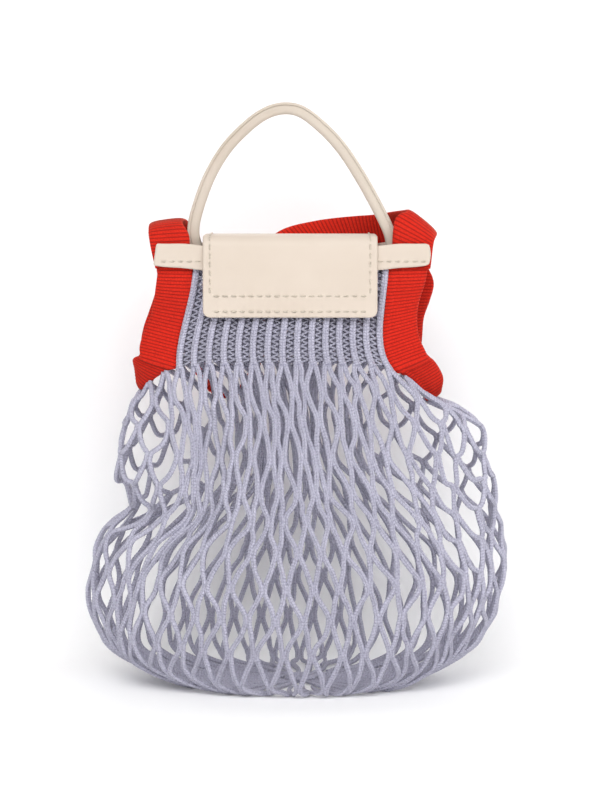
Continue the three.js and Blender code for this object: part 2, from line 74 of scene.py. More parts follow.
# %% [markdown]
# ## The studio
# The bag stands in front of a pale wall, and the floor bends up into the wall close behind it.
# The wide soft light in front keeps the wall white round the bag, while the bag's own shade
# falls on it and is seen through the meshes. Both papers give off a little light of their own.
# From behind, the wall is clear to look through, and a brighter floor lies under it.

# %% The paper sweep
SWEEP_FRONT = -1500
SWEEP_BACK = 50
SWEEP_BEND = 40
SWEEP_STEPS = 12
SWEEP_TOP = 2200
SWEEP_SIDE = 2500
FLOOR_BACK = 2500
FLOOR_DROP = 1
WALL_GLOW = 0.06
FLOOR_GLOW = 0.6


def mesh_piece(name, points_m, faces, uv=None):
    """A smooth mesh object from points in metres. uv gives one pair for each face corner."""
    mesh = bpy.data.meshes.new(name)
    mesh.from_pydata([tuple(p) for p in np.asarray(points_m, float)], [], faces)
    if uv is not None:
        layer = mesh.uv_layers.new(name="fabric")
        layer.data.foreach_set("uv", np.asarray(uv, np.float32).ravel())
    mesh.polygons.foreach_set("use_smooth", np.ones(len(mesh.polygons), bool))
    mesh.update()
    piece = bpy.data.objects.new(name, mesh)
    bpy.context.collection.objects.link(piece)
    return piece


def set_inputs(node, **values):
    """Sets a node's inputs by name, with _ for a space."""
    for key, value in values.items():
        node.inputs[key.replace("_", " ")].default_value = value


def paper_material(name, glow):
    paper = bpy.data.materials.new(name)
    paper.use_nodes = True
    shader = paper.node_tree.nodes["Principled BSDF"]
    set_inputs(shader, Base_Color=(0.93, 0.93, 0.93, 1), Emission_Color=(1, 1, 1, 1), Emission_Strength=glow)
    return paper, shader


def show_either(tree, share, first, second, output):
    """Sends the first of two shaders to a tree's output where share is 0, the second where it is 1."""
    either = tree.nodes.new("ShaderNodeMixShader")
    for socket, source in zip(either.inputs, (share, first.outputs[0], second.outputs[0])):
        tree.links.new(source, socket)
    tree.links.new(either.outputs[0], tree.nodes[output].inputs["Surface"])


def clear_from_behind(material, shader):
    """Lets a view from behind a sheet pass through it."""
    tree = material.node_tree
    behind = tree.nodes.new("ShaderNodeNewGeometry").outputs["Backfacing"]
    show_either(tree, behind, shader, tree.nodes.new("ShaderNodeBsdfTransparent"), "Material Output")


def paper_sweep():
    line = [(SWEEP_FRONT, 0.0)]
    for step in range(SWEEP_STEPS + 1):
        turn = math.pi / 2 * step / SWEEP_STEPS
        line.append((SWEEP_BACK + SWEEP_BEND * math.sin(turn), SWEEP_BEND * (1 - math.cos(turn))))
    line.append((SWEEP_BACK + SWEEP_BEND, SWEEP_TOP))
    points = [(x * 0.001, y * 0.001, z * 0.001) for y, z in line for x in (-SWEEP_SIDE, SWEEP_SIDE)]
    faces = [(2 * i, 2 * i + 1, 2 * i + 3, 2 * i + 2) for i in range(len(line) - 1)]
    sweep = mesh_piece("paper_sweep", points, faces)
    paper, shader = paper_material("paper", WALL_GLOW)
    set_inputs(shader, Roughness=0.9)
    clear_from_behind(paper, shader)
    sweep.data.materials.append(paper)
    return sweep


def floor_behind():
    corners = [(x * 0.001, y * 0.001, -FLOOR_DROP * 0.001)
               for x, y in ((-SWEEP_SIDE, SWEEP_FRONT), (SWEEP_SIDE, SWEEP_FRONT),
                            (SWEEP_SIDE, FLOOR_BACK), (-SWEEP_SIDE, FLOOR_BACK))]
    floor = mesh_piece("floor_behind", corners, [(0, 1, 2, 3)])
    floor.data.materials.append(paper_material("bright paper", FLOOR_GLOW)[0])
    return floor


paper_sweep()
floor_behind()
print("the wall stands", SWEEP_BACK + SWEEP_BEND, "mm behind the bag's middle")

# %% [markdown]
# ## The lights
# A large soft box in front of the bag and over it gives the even light of a product photo. A weaker
# one at the right lights the cords and the red band that turn that way. The light all round is
# dim, so that the inside of the net stays in shade, but what the camera sees past the paper is pale.

# %% The lights
world = bpy.data.worlds.new("studio")
bpy.context.scene.world = world
world.use_nodes = True
surround = world.node_tree.nodes["Background"]
set_inputs(surround, Color=(1, 1, 1, 1), Strength=0.12)
pale = world.node_tree.nodes.new("ShaderNodeBackground")
set_inputs(pale, Strength=1.0)
seen = world.node_tree.nodes.new("ShaderNodeLightPath").outputs["Is Camera Ray"]
show_either(world.node_tree, seen, surround, pale, "World Output")


def soft_box(name, place_m, aim_m, size_m, watts):
    light = bpy.data.lights.new(name, "AREA")
    light.shape = "RECTANGLE"
    light.size, light.size_y = size_m
    light.energy = watts
    lamp = bpy.data.objects.new(name, light)
    lamp.location = place_m
    lamp.rotation_euler = (Vector(place_m) - Vector(aim_m)).to_track_quat("Z", "Y").to_euler()
    bpy.context.collection.objects.link(lamp)


soft_box("soft_box_front", place_m=(-0.22, -1.55, 1.45), aim_m=(0, 0, 0.14), size_m=(1.6, 1.2), watts=35.5)
soft_box("soft_box_right", place_m=(1.2, -1.0, 0.8), aim_m=(0, 0, 0.12), size_m=(1.0, 1.0), watts=9)
bpy.context.scene.view_settings.view_transform = "Standard"

# %% [markdown]
# ## The finishes
# An effect that several materials share is a node group: it is built once, and each material
# sets its values. The groups give only colours and heights. The shader stays in the material.


# %% A small kit for shader nodes
class Nodes:
    """Adds nodes to a tree and links them, from left to right."""

    def __init__(self, tree):
        self.tree = tree

    def add(self, kind, settings=None, **inputs):
        node = self.tree.nodes.new(kind)
        for key, value in (settings or {}).items():
            setattr(node, key, value)
        for key, value in inputs.items():
            self.put(node.inputs[key], value)
        return node

    def put(self, socket, value):
        if isinstance(value, bpy.types.NodeSocket):
            self.tree.links.new(value, socket)
        else:
            socket.default_value = value

    def math(self, operation, *values):
        node = self.tree.nodes.new("ShaderNodeMath")
        node.operation = operation
        for socket, value in zip(node.inputs, values):
            self.put(socket, value)
        return node.outputs[0]

    def mix(self, blend, share, first, second):
        node = self.tree.nodes.new("ShaderNodeMix")
        node.data_type = "RGBA"
        node.blend_type = blend
        for index, value in ((0, share), (6, first), (7, second)):
            self.put(node.inputs[index], value)
        return node.outputs[2]

    def ramp(self, value, low, high):
        """0 at low, 1 at high, eased between them."""
        node = self.add("ShaderNodeMapRange", {"interpolation_type": "SMOOTHSTEP"})
        for index, given in enumerate((value, low, high)):
            self.put(node.inputs[index], given)
        return node.outputs[0]

    def fabric(self):
        """The two fabric coordinates, across and along."""
        return self.add("ShaderNodeSeparateXYZ", Vector=self.add("ShaderNodeUVMap").outputs[0]).outputs[:2]

    def from_half(self, value):
        """How far a value's fraction is from a half: 0 in a stitch's middle, 0.5 between two."""
        return self.math("ABSOLUTE", self.math("SUBTRACT", self.math("FRACT", value), 0.5))

    def crest(self, value):
        """1 in a stitch's middle, rounded off to 0 between two."""
        wave = self.math("MULTIPLY", self.from_half(value), 2.0)
        return self.math("SUBTRACT", 1.0, self.math("POWER", wave, 2.0))

    def raise_by(self, shader, height, strength, distance_m):
        bump = self.add("ShaderNodeBump", Strength=strength, Distance=distance_m, Height=height)
        self.put(shader.inputs["Normal"], bump.outputs[0])


def new_group(name, inputs, outputs):
    """An empty shader group. Both lists hold (name, socket kind, value)."""
    tree = bpy.data.node_groups.new(name, "ShaderNodeTree")
    for in_out, sockets in (("INPUT", inputs), ("OUTPUT", outputs)):
        for label, kind, *value in sockets:
            socket = tree.interface.new_socket(label, in_out=in_out, socket_type="NodeSocket" + kind)
            if value:
                socket.default_value = value[0]
    nodes = Nodes(tree)
    print("node group:", name)
    return nodes, nodes.add("NodeGroupInput").outputs, nodes.add("NodeGroupOutput").inputs


def new_material(name):
    material = bpy.data.materials.new(name)
    material.use_nodes = True
    print("material:", name)
    return material, Nodes(material.node_tree), material.node_tree.nodes["Principled BSDF"]


def use_group(nodes, name, **inputs):
    node = nodes.add("ShaderNodeGroup", {"node_tree": bpy.data.node_groups[name]})
    for key, value in inputs.items():
        nodes.put(node.inputs[key.replace("_", " ")], value)
    return node.outputs


# %% [markdown]
# Knitted cotton is never one flat colour. Its yarn is spun of lighter and darker fibres, and
# each stitch has a shaded side. The group mixes three tones by noise in the object's own space;
# its darker flecks are both darker fibres and painted shade of the stitches.


# %% Group: heathered yarn
def build_heather():
    nodes, given, out = new_group(
        "heathered yarn",
        [("Base", "Color", (0.5, 0.5, 0.6, 1)), ("Light", "Color", (0.8, 0.8, 0.9, 1)),
         ("Dark", "Color", (0.2, 0.2, 0.3, 1)), ("Fleck Size mm", "Float", 0.8),
         ("Amount", "Float", 0.4)],
        [("Color", "Color")],
    )
    place = nodes.add("ShaderNodeTexCoord").outputs["Object"]
    scale = nodes.math("DIVIDE", 1000.0, given["Fleck Size mm"])
    fleck = nodes.add("ShaderNodeTexNoise", Vector=place, Scale=scale, Detail=2.0).outputs["Fac"]
    cloud = nodes.add("ShaderNodeTexNoise", Vector=place, Scale=45.0, Detail=2.0).outputs["Fac"]
    light = nodes.math("MULTIPLY", nodes.ramp(fleck, 0.52, 0.72), given["Amount"])
    # The dark flecks are darker fibres and also painted shade of the stitches.
    dark = nodes.math("MULTIPLY", nodes.ramp(fleck, 0.46, 0.3), given["Amount"])
    tone = nodes.mix("MIX", light, given["Base"], given["Light"])
    tone = nodes.mix("MIX", dark, tone, given["Dark"])
    shade = nodes.math("MULTIPLY", nodes.ramp(cloud, 0.35, 0.7), 0.12)
    nodes.put(out["Color"], nodes.mix("MIX", shade, tone, given["Dark"]))


build_heather()

# %% [markdown]
# The cord is a knitted chain: a row of V stitches on its outer side and on its inner side. The
# fabric coordinate counts the way round the cord from 0 to 1 and the way along it in stitches.


# %% Group: chain stitch
def build_chain_stitch():
    nodes, given, out = new_group(
        "chain stitch",
        [("Slant", "Float", 0.9), ("Gap", "Float", 0.22)],
        [("Height", "Float"), ("Gap Mask", "Float")],
    )
    around, along = nodes.fabric()
    from_middle = nodes.from_half(nodes.math("MULTIPLY", around, 2.0))
    slanted = nodes.math("ADD", along, nodes.math("MULTIPLY", from_middle, given["Slant"]))
    groove = nodes.ramp(from_middle, 0.0, 0.13)
    edge = nodes.ramp(from_middle, 0.5, 0.4)
    height = nodes.math("MULTIPLY", nodes.crest(slanted), nodes.math("MULTIPLY", groove, edge))
    nodes.put(out["Height"], height)
    # A mask of the low places between and beside the stitches, where the cord's colour gets painted shade.
    nodes.put(out["Gap Mask"], nodes.ramp(height, given["Gap"], 0.0))


build_chain_stitch()

# %% [markdown]
# The red bands are a fine rib knit. Its ribs cross the band, so they are modelled, and the group
# adds the small stitches along each rib.


# %% Group: fine knit
def build_fine_knit():
    nodes, given, out = new_group(
        "fine knit",
        [("Ribs", "Float", 1.0), ("Stitches", "Float", 1.0)],
        [("Height", "Float"), ("Groove", "Float")],
    )
    across, along = nodes.fabric()
    in_rib = nodes.from_half(nodes.math("MULTIPLY", along, given["Ribs"]))
    slanted = nodes.math("ADD", nodes.math("MULTIPLY", across, given["Stitches"]),
                         nodes.math("MULTIPLY", in_rib, 1.1))
    raised = nodes.math("ADD", nodes.math("MULTIPLY", nodes.crest(slanted), 0.5), 0.5)
    nodes.put(out["Height"], nodes.math("MULTIPLY", raised, nodes.ramp(in_rib, 0.5, 0.12)))
    # A mask of the grooves between the ribs, for painted shade there.
    nodes.put(out["Groove"], nodes.ramp(in_rib, 0.24, 0.46))


build_fine_knit()

# %% [markdown]
# Smooth leather still has a grain: small pebbles, fine creases and a slow change of tone.


# %% Group: leather grain
def build_leather_grain():
    nodes, given, out = new_group(
        "leather grain",
        [("Pebble mm", "Float", 0.5), ("Base", "Color", (0.8, 0.7, 0.6, 1)),
         ("Worn", "Color", (0.7, 0.6, 0.5, 1)), ("Wear", "Float", 0.3)],
        [("Color", "Color"), ("Height", "Float"), ("Roughness", "Float")],
    )
    place = nodes.add("ShaderNodeTexCoord").outputs["Object"]
    scale = nodes.math("DIVIDE", 1000.0, given["Pebble mm"])
    voronoi = nodes.add("ShaderNodeTexVoronoi", {"feature": "SMOOTH_F1"}, Vector=place, Scale=scale)
    pebbles = nodes.math("MULTIPLY", voronoi.outputs["Distance"], 0.6)
    fine = nodes.add("ShaderNodeTexNoise", Vector=place, Scale=900.0, Detail=4.0).outputs["Fac"]
    cloud = nodes.add("ShaderNodeTexNoise", Vector=place, Scale=28.0, Detail=4.0).outputs["Fac"]
    nodes.put(out["Height"], nodes.math("ADD", pebbles, nodes.math("MULTIPLY", fine, 0.4)))
    wear = nodes.math("MULTIPLY", nodes.ramp(cloud, 0.4, 0.75), given["Wear"])
    nodes.put(out["Color"], nodes.mix("MIX", wear, given["Base"], given["Worn"]))
    nodes.put(out["Roughness"], nodes.math("ADD", 0.42, nodes.math("MULTIPLY", fine, 0.25)))


build_leather_grain()


# %% [markdown]
# Cotton scatters light softly and hardly shines, so the cord is rough, with a faint sheen from
# its loose fibres. Between its stitches the colour is darkened: painted shade. The ladders behind
# the ribs lie in shade, and their cord is a copy in darker tones: painted shade.


# %% Material: cotton cord
def build_cotton(name, base, light, dark):
    material, nodes, shader = new_material(name)
    yarn = use_group(nodes, "heathered yarn", Base=base, Light=light, Dark=dark,
                     Fleck_Size_mm=0.9, Amount=0.45)
    stitch = use_group(nodes, "chain stitch", Slant=0.9, Gap=0.25)
    # Painted shade: the low places between the stitches are darkened towards the dark tone.
    painted_gap_shade = nodes.math("MULTIPLY", stitch["Gap Mask"], 0.5)
    nodes.put(shader.inputs["Base Color"], nodes.mix("MIX", painted_gap_shade, yarn["Color"], dark))
    nodes.raise_by(shader, stitch["Height"], strength=0.9, distance_m=0.0004)
    set_inputs(shader, Roughness=0.95, Specular_IOR_Level=0.2, Sheen_Weight=0.25, Sheen_Roughness=0.5)
    return material


cotton = build_cotton("lilac cotton cord", base=(0.505, 0.495, 0.605, 1), light=(0.65, 0.64, 0.74, 1),
                      dark=(0.17, 0.165, 0.25, 1))
# A copy of the cord in darker tones, as painted shade for the inner ladders.
inner_cotton_painted_shade = build_cotton("lilac cotton in painted shade", base=(0.27, 0.26, 0.34, 1), light=(0.36, 0.35, 0.44, 1),
                            dark=(0.10, 0.10, 0.15, 1))

# %% [markdown]
# The red knit is the same cotton in a finer yarn. Between its ribs it has painted shade: a deeper
# red, for the light that bounces from one side of the groove to the other.


# %% Material: red rib knit
def build_red_knit():
    material, nodes, shader = new_material("red rib knit")
    yarn = use_group(
        nodes, "heathered yarn", Base=(0.63, 0.018, 0.007, 1), Light=(0.73, 0.045, 0.018, 1),
        Dark=(0.30, 0.010, 0.006, 1), Fleck_Size_mm=0.7, Amount=0.4,
    )
    knit = use_group(nodes, "fine knit", Ribs=1.0, Stitches=1.0)
    # Painted shade: the grooves between the ribs are darkened to a deep red.
    groove = nodes.math("MULTIPLY", knit["Groove"], 0.7)
    nodes.put(shader.inputs["Base Color"], nodes.mix("MIX", groove, yarn["Color"], (0.17, 0.005, 0.004, 1)))
    nodes.raise_by(shader, knit["Height"], strength=0.8, distance_m=0.0003)
    set_inputs(shader, Roughness=0.9, Specular_IOR_Level=0.2, Sheen_Weight=0.2,
               Sheen_Tint=(1.0, 0.45, 0.3, 1))
    return material


red_knit = build_red_knit()

# %% [markdown]
# The leather is dyed cream and left smooth, so it has a soft shine. The handle's is a little
# darker, as the hand would make it. The thread takes the cord's material in the leather's colour.


# %% Materials: leather and thread
def build_leather(name, base, worn, wear):
    material, nodes, shader = new_material(name)
    grain = use_group(nodes, "leather grain", Pebble_mm=0.55, Base=base, Worn=worn, Wear=wear)
    nodes.put(shader.inputs["Base Color"], grain["Color"])
    nodes.put(shader.inputs["Roughness"], grain["Roughness"])
    nodes.raise_by(shader, grain["Height"], strength=0.25, distance_m=0.0001)
    set_inputs(shader, Specular_IOR_Level=0.35)
    return material


cream_leather = build_leather("cream leather", (0.645, 0.557, 0.475, 1), (0.60, 0.51, 0.425, 1), 0.5)
handle_leather = build_leather("handle leather", (0.585, 0.51, 0.435, 1), (0.52, 0.44, 0.36, 1), 0.6)
thread = build_cotton("cream thread", base=(0.80, 0.72, 0.60, 1), light=(0.88, 0.80, 0.70, 1),
                      dark=(0.50, 0.42, 0.33, 1))

# %% [markdown]
# ## The net's surface
# The net hangs from the mouth, widens, and closes on the floor. Its shape is a table of rows:
# row 0 is where the ribs end, and each row further down is one line of crossings. The columns
# count the meshes round the bag from the middle of the front. They are drawn together in front
# and at the back, and spread at the sides, as the weight of the slack net pulls them.

# %% The table of rows
MIDDLE_X = -2.03
MIDDLE_Y = 0.2
COLUMNS = 40
LAST_ROW = 12
SPREAD = 5
HEIGHT_NAMES = ("front", "left_side", "right_side", "fall", "back_rise")
NET_HEIGHTS = np.array([
    (162.7, 147, 141.5, 5.5, 0.5),
    (149.2, 138, 135, 3.5, 3.6),
    (134.9, 128.5, 128.5, 2.5, 5.6),
    (118.4, 116, 116, 2, 5.6),
    (102.2, 102, 102, 2, 5.6),
    (88.4, 89, 89, 2, 5.6),
    (73.9, 76, 76, 2, 5.6),
    (56.7, 61, 61, 2, 5),
    (41.1, 45.5, 45.5, 2, 3),
    (23, 30, 30, 2, 1),
    (5, 15, 15, 2, 0),
    (1.3, 1.3, 1.3, 2, 0),
    (1.3, 1.3, 1.3, 2, 0),
    (1.3, 1.3, 1.3, 2, 0),
])
REACH_NAMES = ("left", "right", "fore", "aft", "mid", "drawn", "gathered")
NET_REACH = np.array([
    (70, 71, 22, 22, -8.5, 0.35, 0.35),
    (78, 87, 29, 28, -7, 0.45, 0.6),
    (82, 95.5, 36, 35, -5.5, 0.475, 0.7),
    (87, 97.5, 43, 42, -4, 0.47, 0.72),
    (87.8, 101.3, 48, 47, -3, 0.425, 0.7),
    (86, 102.5, 52, 51, -2, 0.345, 0.6),
    (97.3, 103.6, 55, 54, -1, 0.27, 0.48),
    (103.2, 104, 56, 55, 0, 0.19, 0.34),
    (105.1, 101.3, 55, 54, 0, 0.195, 0.22),
    (102.8, 94.4, 50, 49, 0, 0.14, 0.14),
    (89.5, 79, 42, 41, 0, 0, 0),
    (60, 52, 33, 32, 0, 0, 0),
    (36, 33, 20, 19, 0, 0, 0),
    (10, 9, 7, 7, 0, 0, 0),
])
# A crease is a soft trough: its column and row, its slant, how wide and how high it is, its depth
CREASES = np.array([
    (-5.6, 4, 0.1, 1.1, 3, 7),
    (-6.6, 7.2, -0.6, 1, 2, 6),
    (-10.5, 4.6, 0, 3, 0.8, 6),
    (6.8, 3.6, 0.35, 1.1, 2.6, 6),
    (9.4, 6.2, 0.2, 1.2, 2.4, 4),
    (14.5, 4.2, 0.25, 1.2, 2.6, 5),
    (20, 5.4, -0.2, 1.4, 2.4, 3.5),
    (25.6, 4.4, -0.2, 1.2, 2.8, 5),
])
# A gather draws cords into a bundle. Its columns are the same, with its pull as the last one
GATHERS = np.array([
    (-6.3, 2.8, 0.25, 2.0, 2.4, 0.6),
    (-6.7, 6.6, -0.5, 1.7, 2.0, 0.55),
    (7.4, 3.6, -0.5, 0.9, 1.8, 0.4),
    (26.0, 4.4, -0.2, 1.8, 2.6, 0.5),
    (14.5, 4.2, 0.25, 1.6, 2.4, 0.5),
])


def to_frame(points):
    """From the bag's own millimetres to the frame's metres."""
    return (np.asarray(points, float) - (MIDDLE_X, MIDDLE_Y, 0)) * 0.001


def smooth(values, at):
    """A smooth curve through evenly spaced values."""
    last = len(values) - 1
    place = np.clip(at, 0, last)
    i = np.minimum(np.floor(place).astype(int), last - 1)
    t = place - i
    before, start, end, after = (values[np.clip(i + k, 0, last)] for k in (-1, 0, 1, 2))
    leaving, coming, rise = (end - before) / 2, (after - start) / 2, end - start
    return start + t * (leaving + t * (3 * rise - 2 * leaving - coming + t * (leaving + coming - 2 * rise)))


def row_value(name, row):
    if name in HEIGHT_NAMES:
        return smooth(NET_HEIGHTS[:, HEIGHT_NAMES.index(name)], row)
    return smooth(NET_REACH[:, REACH_NAMES.index(name)], row)


def columns_between(column, other):
    return (column - other + COLUMNS / 2) % COLUMNS - COLUMNS / 2


def column_angle(column, row):
    quarter = COLUMNS / 4
    from_front = columns_between(column, 0)
    size = np.abs(from_front)
    in_front = size <= quarter
    drawn = np.where(in_front, row_value("drawn", row), row_value("gathered", row))
    x = np.where(in_front, size, 2 * quarter - size) / quarter
    angle = math.pi / 2 * ((1 - drawn) * x + drawn * x ** SPREAD)
    return np.sign(from_front) * np.where(in_front, angle, math.pi - angle)


def near_line(column, row, middle, line, slant, columns, rows):
    """Columns from a slanted line to a place, and how near that is: 1 on the line's middle to 0."""
    down = row - line
    across = columns_between(column, middle + slant * down)
    return across, np.exp(-((across / columns) ** 2) - (down / rows) ** 2)


def gathered(column, row):
    """Moves columns towards the lines where the slack net is drawn into a bundle."""
    moved = column
    for *place, pull in GATHERS:
        across, near = near_line(column, row, *place)
        moved = moved - pull * across * near
    return moved


def crease_depth(column, row):
    depth = np.zeros(np.broadcast(column, row).shape)
    for *place, deep in CREASES:
        depth += deep * near_line(column, row, *place)[1]
    return depth


def net_point(column, row):
    """Points of the net's middle layer, with the last axis for x, y and z."""
    column, row = np.broadcast_arrays(np.asarray(column, float), np.asarray(row, float))
    column = gathered(column, row)
    angle = column_angle(column, row)
    across, ahead = np.sin(angle), np.cos(angle)
    reach = np.where(across < 0, row_value("left", row), row_value("right", row))
    depth = np.where(ahead > 0, row_value("fore", row), row_value("aft", row))
    outwards = np.stack([across * depth, -ahead * reach, np.zeros_like(reach)], -1)
    outwards /= np.linalg.norm(outwards, axis=-1, keepdims=True)
    front = row_value("front", row)
    side = np.where(across < 0, row_value("left_side", row), row_value("right_side", row))
    height = front + (side - front) * np.abs(across) ** row_value("fall", row)
    height = height + row_value("back_rise", row) * np.minimum(ahead, 0) ** 2
    point = np.stack([row_value("mid", row) + across * reach, -ahead * depth, height], -1)
    return point - outwards * crease_depth(column, row)[..., None]


def net_normal(column, row, step=0.03):
    across = net_point(column + step, row) - net_point(column - step, row)
    down = net_point(column, row + step) - net_point(column, row - step)
    normal = np.cross(down, across)
    return normal / np.maximum(np.linalg.norm(normal, axis=-1, keepdims=True), 1e-9)


print("the net's widest row:", round(float((NET_REACH[:, 0] + NET_REACH[:, 1]).max()), 1), "mm")

# %% [markdown]
# ## Cords
# A cord is a tube along a line. Its mesh has a low relief of slanted stitches, two to each stitch
# along the cord, so its outline isn't smooth, and the chain stitch of its material lies on them.

# %% Tubes
CORD_RADIUS = 1.3
STITCH = 1.5
CORD_SIDES = 8


def unit(vectors):
    return vectors / np.maximum(np.linalg.norm(vectors, axis=-1, keepdims=True), 1e-9)


def line_length(points):
    return np.linalg.norm(np.diff(points, axis=0), axis=1).sum()


def distances(points):
    """How far along a line each of its points is."""
    return np.concatenate([[0], np.cumsum(np.linalg.norm(np.diff(points, axis=0), axis=1))])


def values_at(at, along, values):
    """What the values at some places along a line are at other places on it."""
    return np.stack([np.interp(at, along, v) for v in np.asarray(values).T], -1)


def resample(points, spacing, outwards):
    """The line again with evenly spaced points, and its outward directions there."""
    along = distances(points)
    count = max(int(round(along[-1] / spacing)), 2) + 1
    at = np.linspace(0, along[-1], count)
    return values_at(at, along, points), values_at(at, along, outwards)


def skin(count, sides):
    """The corners of the faces between rings of points, as numbers of a ring and of a side."""
    ring, side = (grid.ravel() for grid in np.meshgrid(np.arange(count - 1), np.arange(sides), indexing="ij"))
    return np.stack([ring, ring + 1, ring + 1, ring], -1), np.stack([side, side, side + 1, side + 1], -1)


def end_faces(count, sides):
    return [list(range(sides)), [(count - 1) * sides + k for k in range(sides)][::-1]]


def tube_mesh(points, outwards, radius, sides, relief):
    """Points, faces and fabric coordinates of one tube. outwards is where its stitches face."""
    count = len(points)
    tangent = unit(np.gradient(points, axis=0))
    sideways = unit(np.cross(outwards, tangent))
    facing = np.cross(tangent, sideways)
    turn = 2 * math.pi * np.arange(sides) / sides
    ring = np.broadcast_to(np.asarray(radius, float), count)[:, None] * np.ones(sides)
    flip = np.where(np.arange(sides) < sides / 2, 1, -1)
    ring = ring * (1 + relief * flip[None, :] * np.where(np.arange(count) % 2, 1, -1)[:, None])
    places = (points[:, None] - (np.cos(turn)[None, :, None] * facing[:, None]
              + np.sin(turn)[None, :, None] * sideways[:, None]) * ring[..., None])
    rings, around = skin(count, sides)
    outside = [0, 3, 2, 1]
    faces = (rings * sides + around % sides)[:, outside]
    uv = np.stack([around / sides, (distances(points) / STITCH)[rings]], -1)[:, outside]
    ends = [end[::-1] for end in end_faces(count, sides)]
    return places.reshape(-1, 3), faces, uv.reshape(-1, 2), ends


class Cords:
    """Gathers many tubes into one mesh."""

    def __init__(self):
        self.points, self.faces, self.uv, self.count, self.length = [], [], [], 0, 0.0
        self.runs = []

    def add(self, line, outwards, radius=CORD_RADIUS, sides=CORD_SIDES, spacing=STITCH / 2, relief=0.05,
            taper=None):
        line, outwards = resample(line, spacing, outwards)
        if taper is not None:
            radius = radius * np.interp(np.linspace(0, 1, len(line)), *taper)
        points, faces, uv, ends = tube_mesh(line, unit(outwards), radius, sides, relief)
        run = float(line_length(line))
        self.length += run
        self.runs.append((math.pi * float(np.mean(radius)), run))
        self.points.append(points)
        self.faces += (faces + self.count).tolist()
        self.uv.append(uv)
        for end in ends:
            self.faces.append([k + self.count for k in end])
            self.uv.append(np.zeros((len(end), 2)))
        self.count += len(points)

    def flat_area(self):
        """The area that the cords cover when they lie side by side, in square metres."""
        return sum(width * length for width, length in self.runs) * 1e-6

    def piece(self, name, material):
        made = mesh_piece(name, to_frame(np.concatenate(self.points)), self.faces, np.concatenate(self.uv))
        made.data.materials.append(material)
        print(name, len(self.faces), "faces,", round(self.length / 1000, 2), "m of cord")
        return made


# %% [markdown]
# ## The net
# On the real bag 80 cords run down from the ribs and the bands. Each one zigzags: at one row it
# lies beside its left neighbour, at the next beside its right one, and where two lie side by side
# they are knitted together. Every crossing is moved a little, so no two meshes are the same.
# The cords bow between crossings where the net is slack.

# %% How the cords lie
ROW_SAMPLES = 24
BESIDE = 1.6
PLATEAU_LEAST, PLATEAU_MOST = 0.06, 0.2
BESIDE_SHARE, BESIDE_MOST = 0.7, 0.2
SAG_OUTWARDS = 0.25
rng = np.random.default_rng(7)
CROSSING_SHIFT = np.array([0.9, 0.9, 0.8])
crossing_shift = rng.normal(0, 1, (LAST_ROW + 3, 2 * COLUMNS, 3)) * CROSSING_SHIFT
bow_shift = rng.normal(0, 1, (LAST_ROW + 3, 2 * COLUMNS, 2)) * (0.45, 0.5)
# A slack place has the same columns as a gather, with its sag as the last one
SLACK = np.array([
    (-10.2, 3.4, 0, 2.2, 2.2, 4.2),
    (8.4, 3.2, 0, 1.7, 1.9, 4.6),
    (7.2, 6.4, 0, 1.6, 1.5, 3.6),
    (12.5, 3.2, 0, 2.6, 2.4, 3.0),
    (27.5, 3.2, 0, 2.4, 2.4, 3.0),
])
print(2 * COLUMNS, "cords, which cross in", LAST_ROW, "rows")


def slack(column, row):
    """How far a cord sags between its crossings, in millimetres."""
    sag = np.zeros(np.broadcast(column, row).shape)
    for *place, most in SLACK:
        sag += most * near_line(column, row, *place)[1]
    return sag


def cord_line(strand, first, last):
    """A cord's line between two rows, and the net's outward direction along it."""
    row = np.linspace(first, last, int((last - first) * ROW_SAMPLES) + 1)
    even_column = math.ceil(strand / 2)
    odd_column = strand // 2 + 0.5
    side = 1 if strand % 2 == 0 else -1
    k = np.floor(row).astype(int)
    f = row - k
    pitch = np.linalg.norm(net_point(even_column + 0.5, row) - net_point(even_column - 0.5, row), axis=1)
    drop = np.linalg.norm(net_point(even_column, row + 0.5) - net_point(even_column, row - 0.5), axis=1)
    plateau = np.clip(BESIDE / np.maximum(drop, 1), PLATEAU_LEAST, PLATEAU_MOST)
    t = np.clip((f - plateau) / (1 - 2 * plateau), 0, 1)
    eased = 0.8 * t + 0.2 * t * t * (3 - 2 * t)
    w = np.where(k % 2 == 0, eased, 1 - eased)
    beside = np.minimum(BESIDE_SHARE * CORD_RADIUS / pitch, BESIDE_MOST)
    column = even_column + (odd_column - even_column) * w + side * beside * (1 - 2 * w)
    line = net_point(column, row)
    normal = net_normal(column, row)
    sideways = unit(net_point(column + 0.05, row) - net_point(column - 0.05, row))
    down = unit(np.gradient(line, axis=0))

    nodes_here = np.where(k % 2 == 0, 2 * even_column, int(2 * odd_column)) % (2 * COLUMNS)
    nodes_next = np.where(k % 2 == 0, int(2 * odd_column), 2 * even_column) % (2 * COLUMNS)
    ease = t * t * (3 - 2 * t)
    rows = np.clip(k, 0, LAST_ROW + 1)
    shift = (crossing_shift[rows, nodes_here] * (1 - ease)[:, None]
             + crossing_shift[rows + 1, nodes_next] * ease[:, None])
    free = np.clip(row / 0.8, 0, 1) * np.clip((LAST_ROW - row) / 2, 0, 1)
    line = line + (shift[:, :1] * sideways + shift[:, 1:2] * down + shift[:, 2:] * normal) * free[:, None]
    hump = np.sin(math.pi * t) ** 2
    bow = bow_shift[rows, strand % (2 * COLUMNS)]
    line += (bow[:, :1] * sideways + bow[:, 1:] * normal) * (hump * free)[:, None]
    sag = slack(column, row) * np.sin(math.pi * f) ** 2
    line[:, 2] -= sag
    line += normal * (SAG_OUTWARDS * sag)[:, None]
    line[:, 2] = np.maximum(line[:, 2], CORD_RADIUS)
    return line, normal


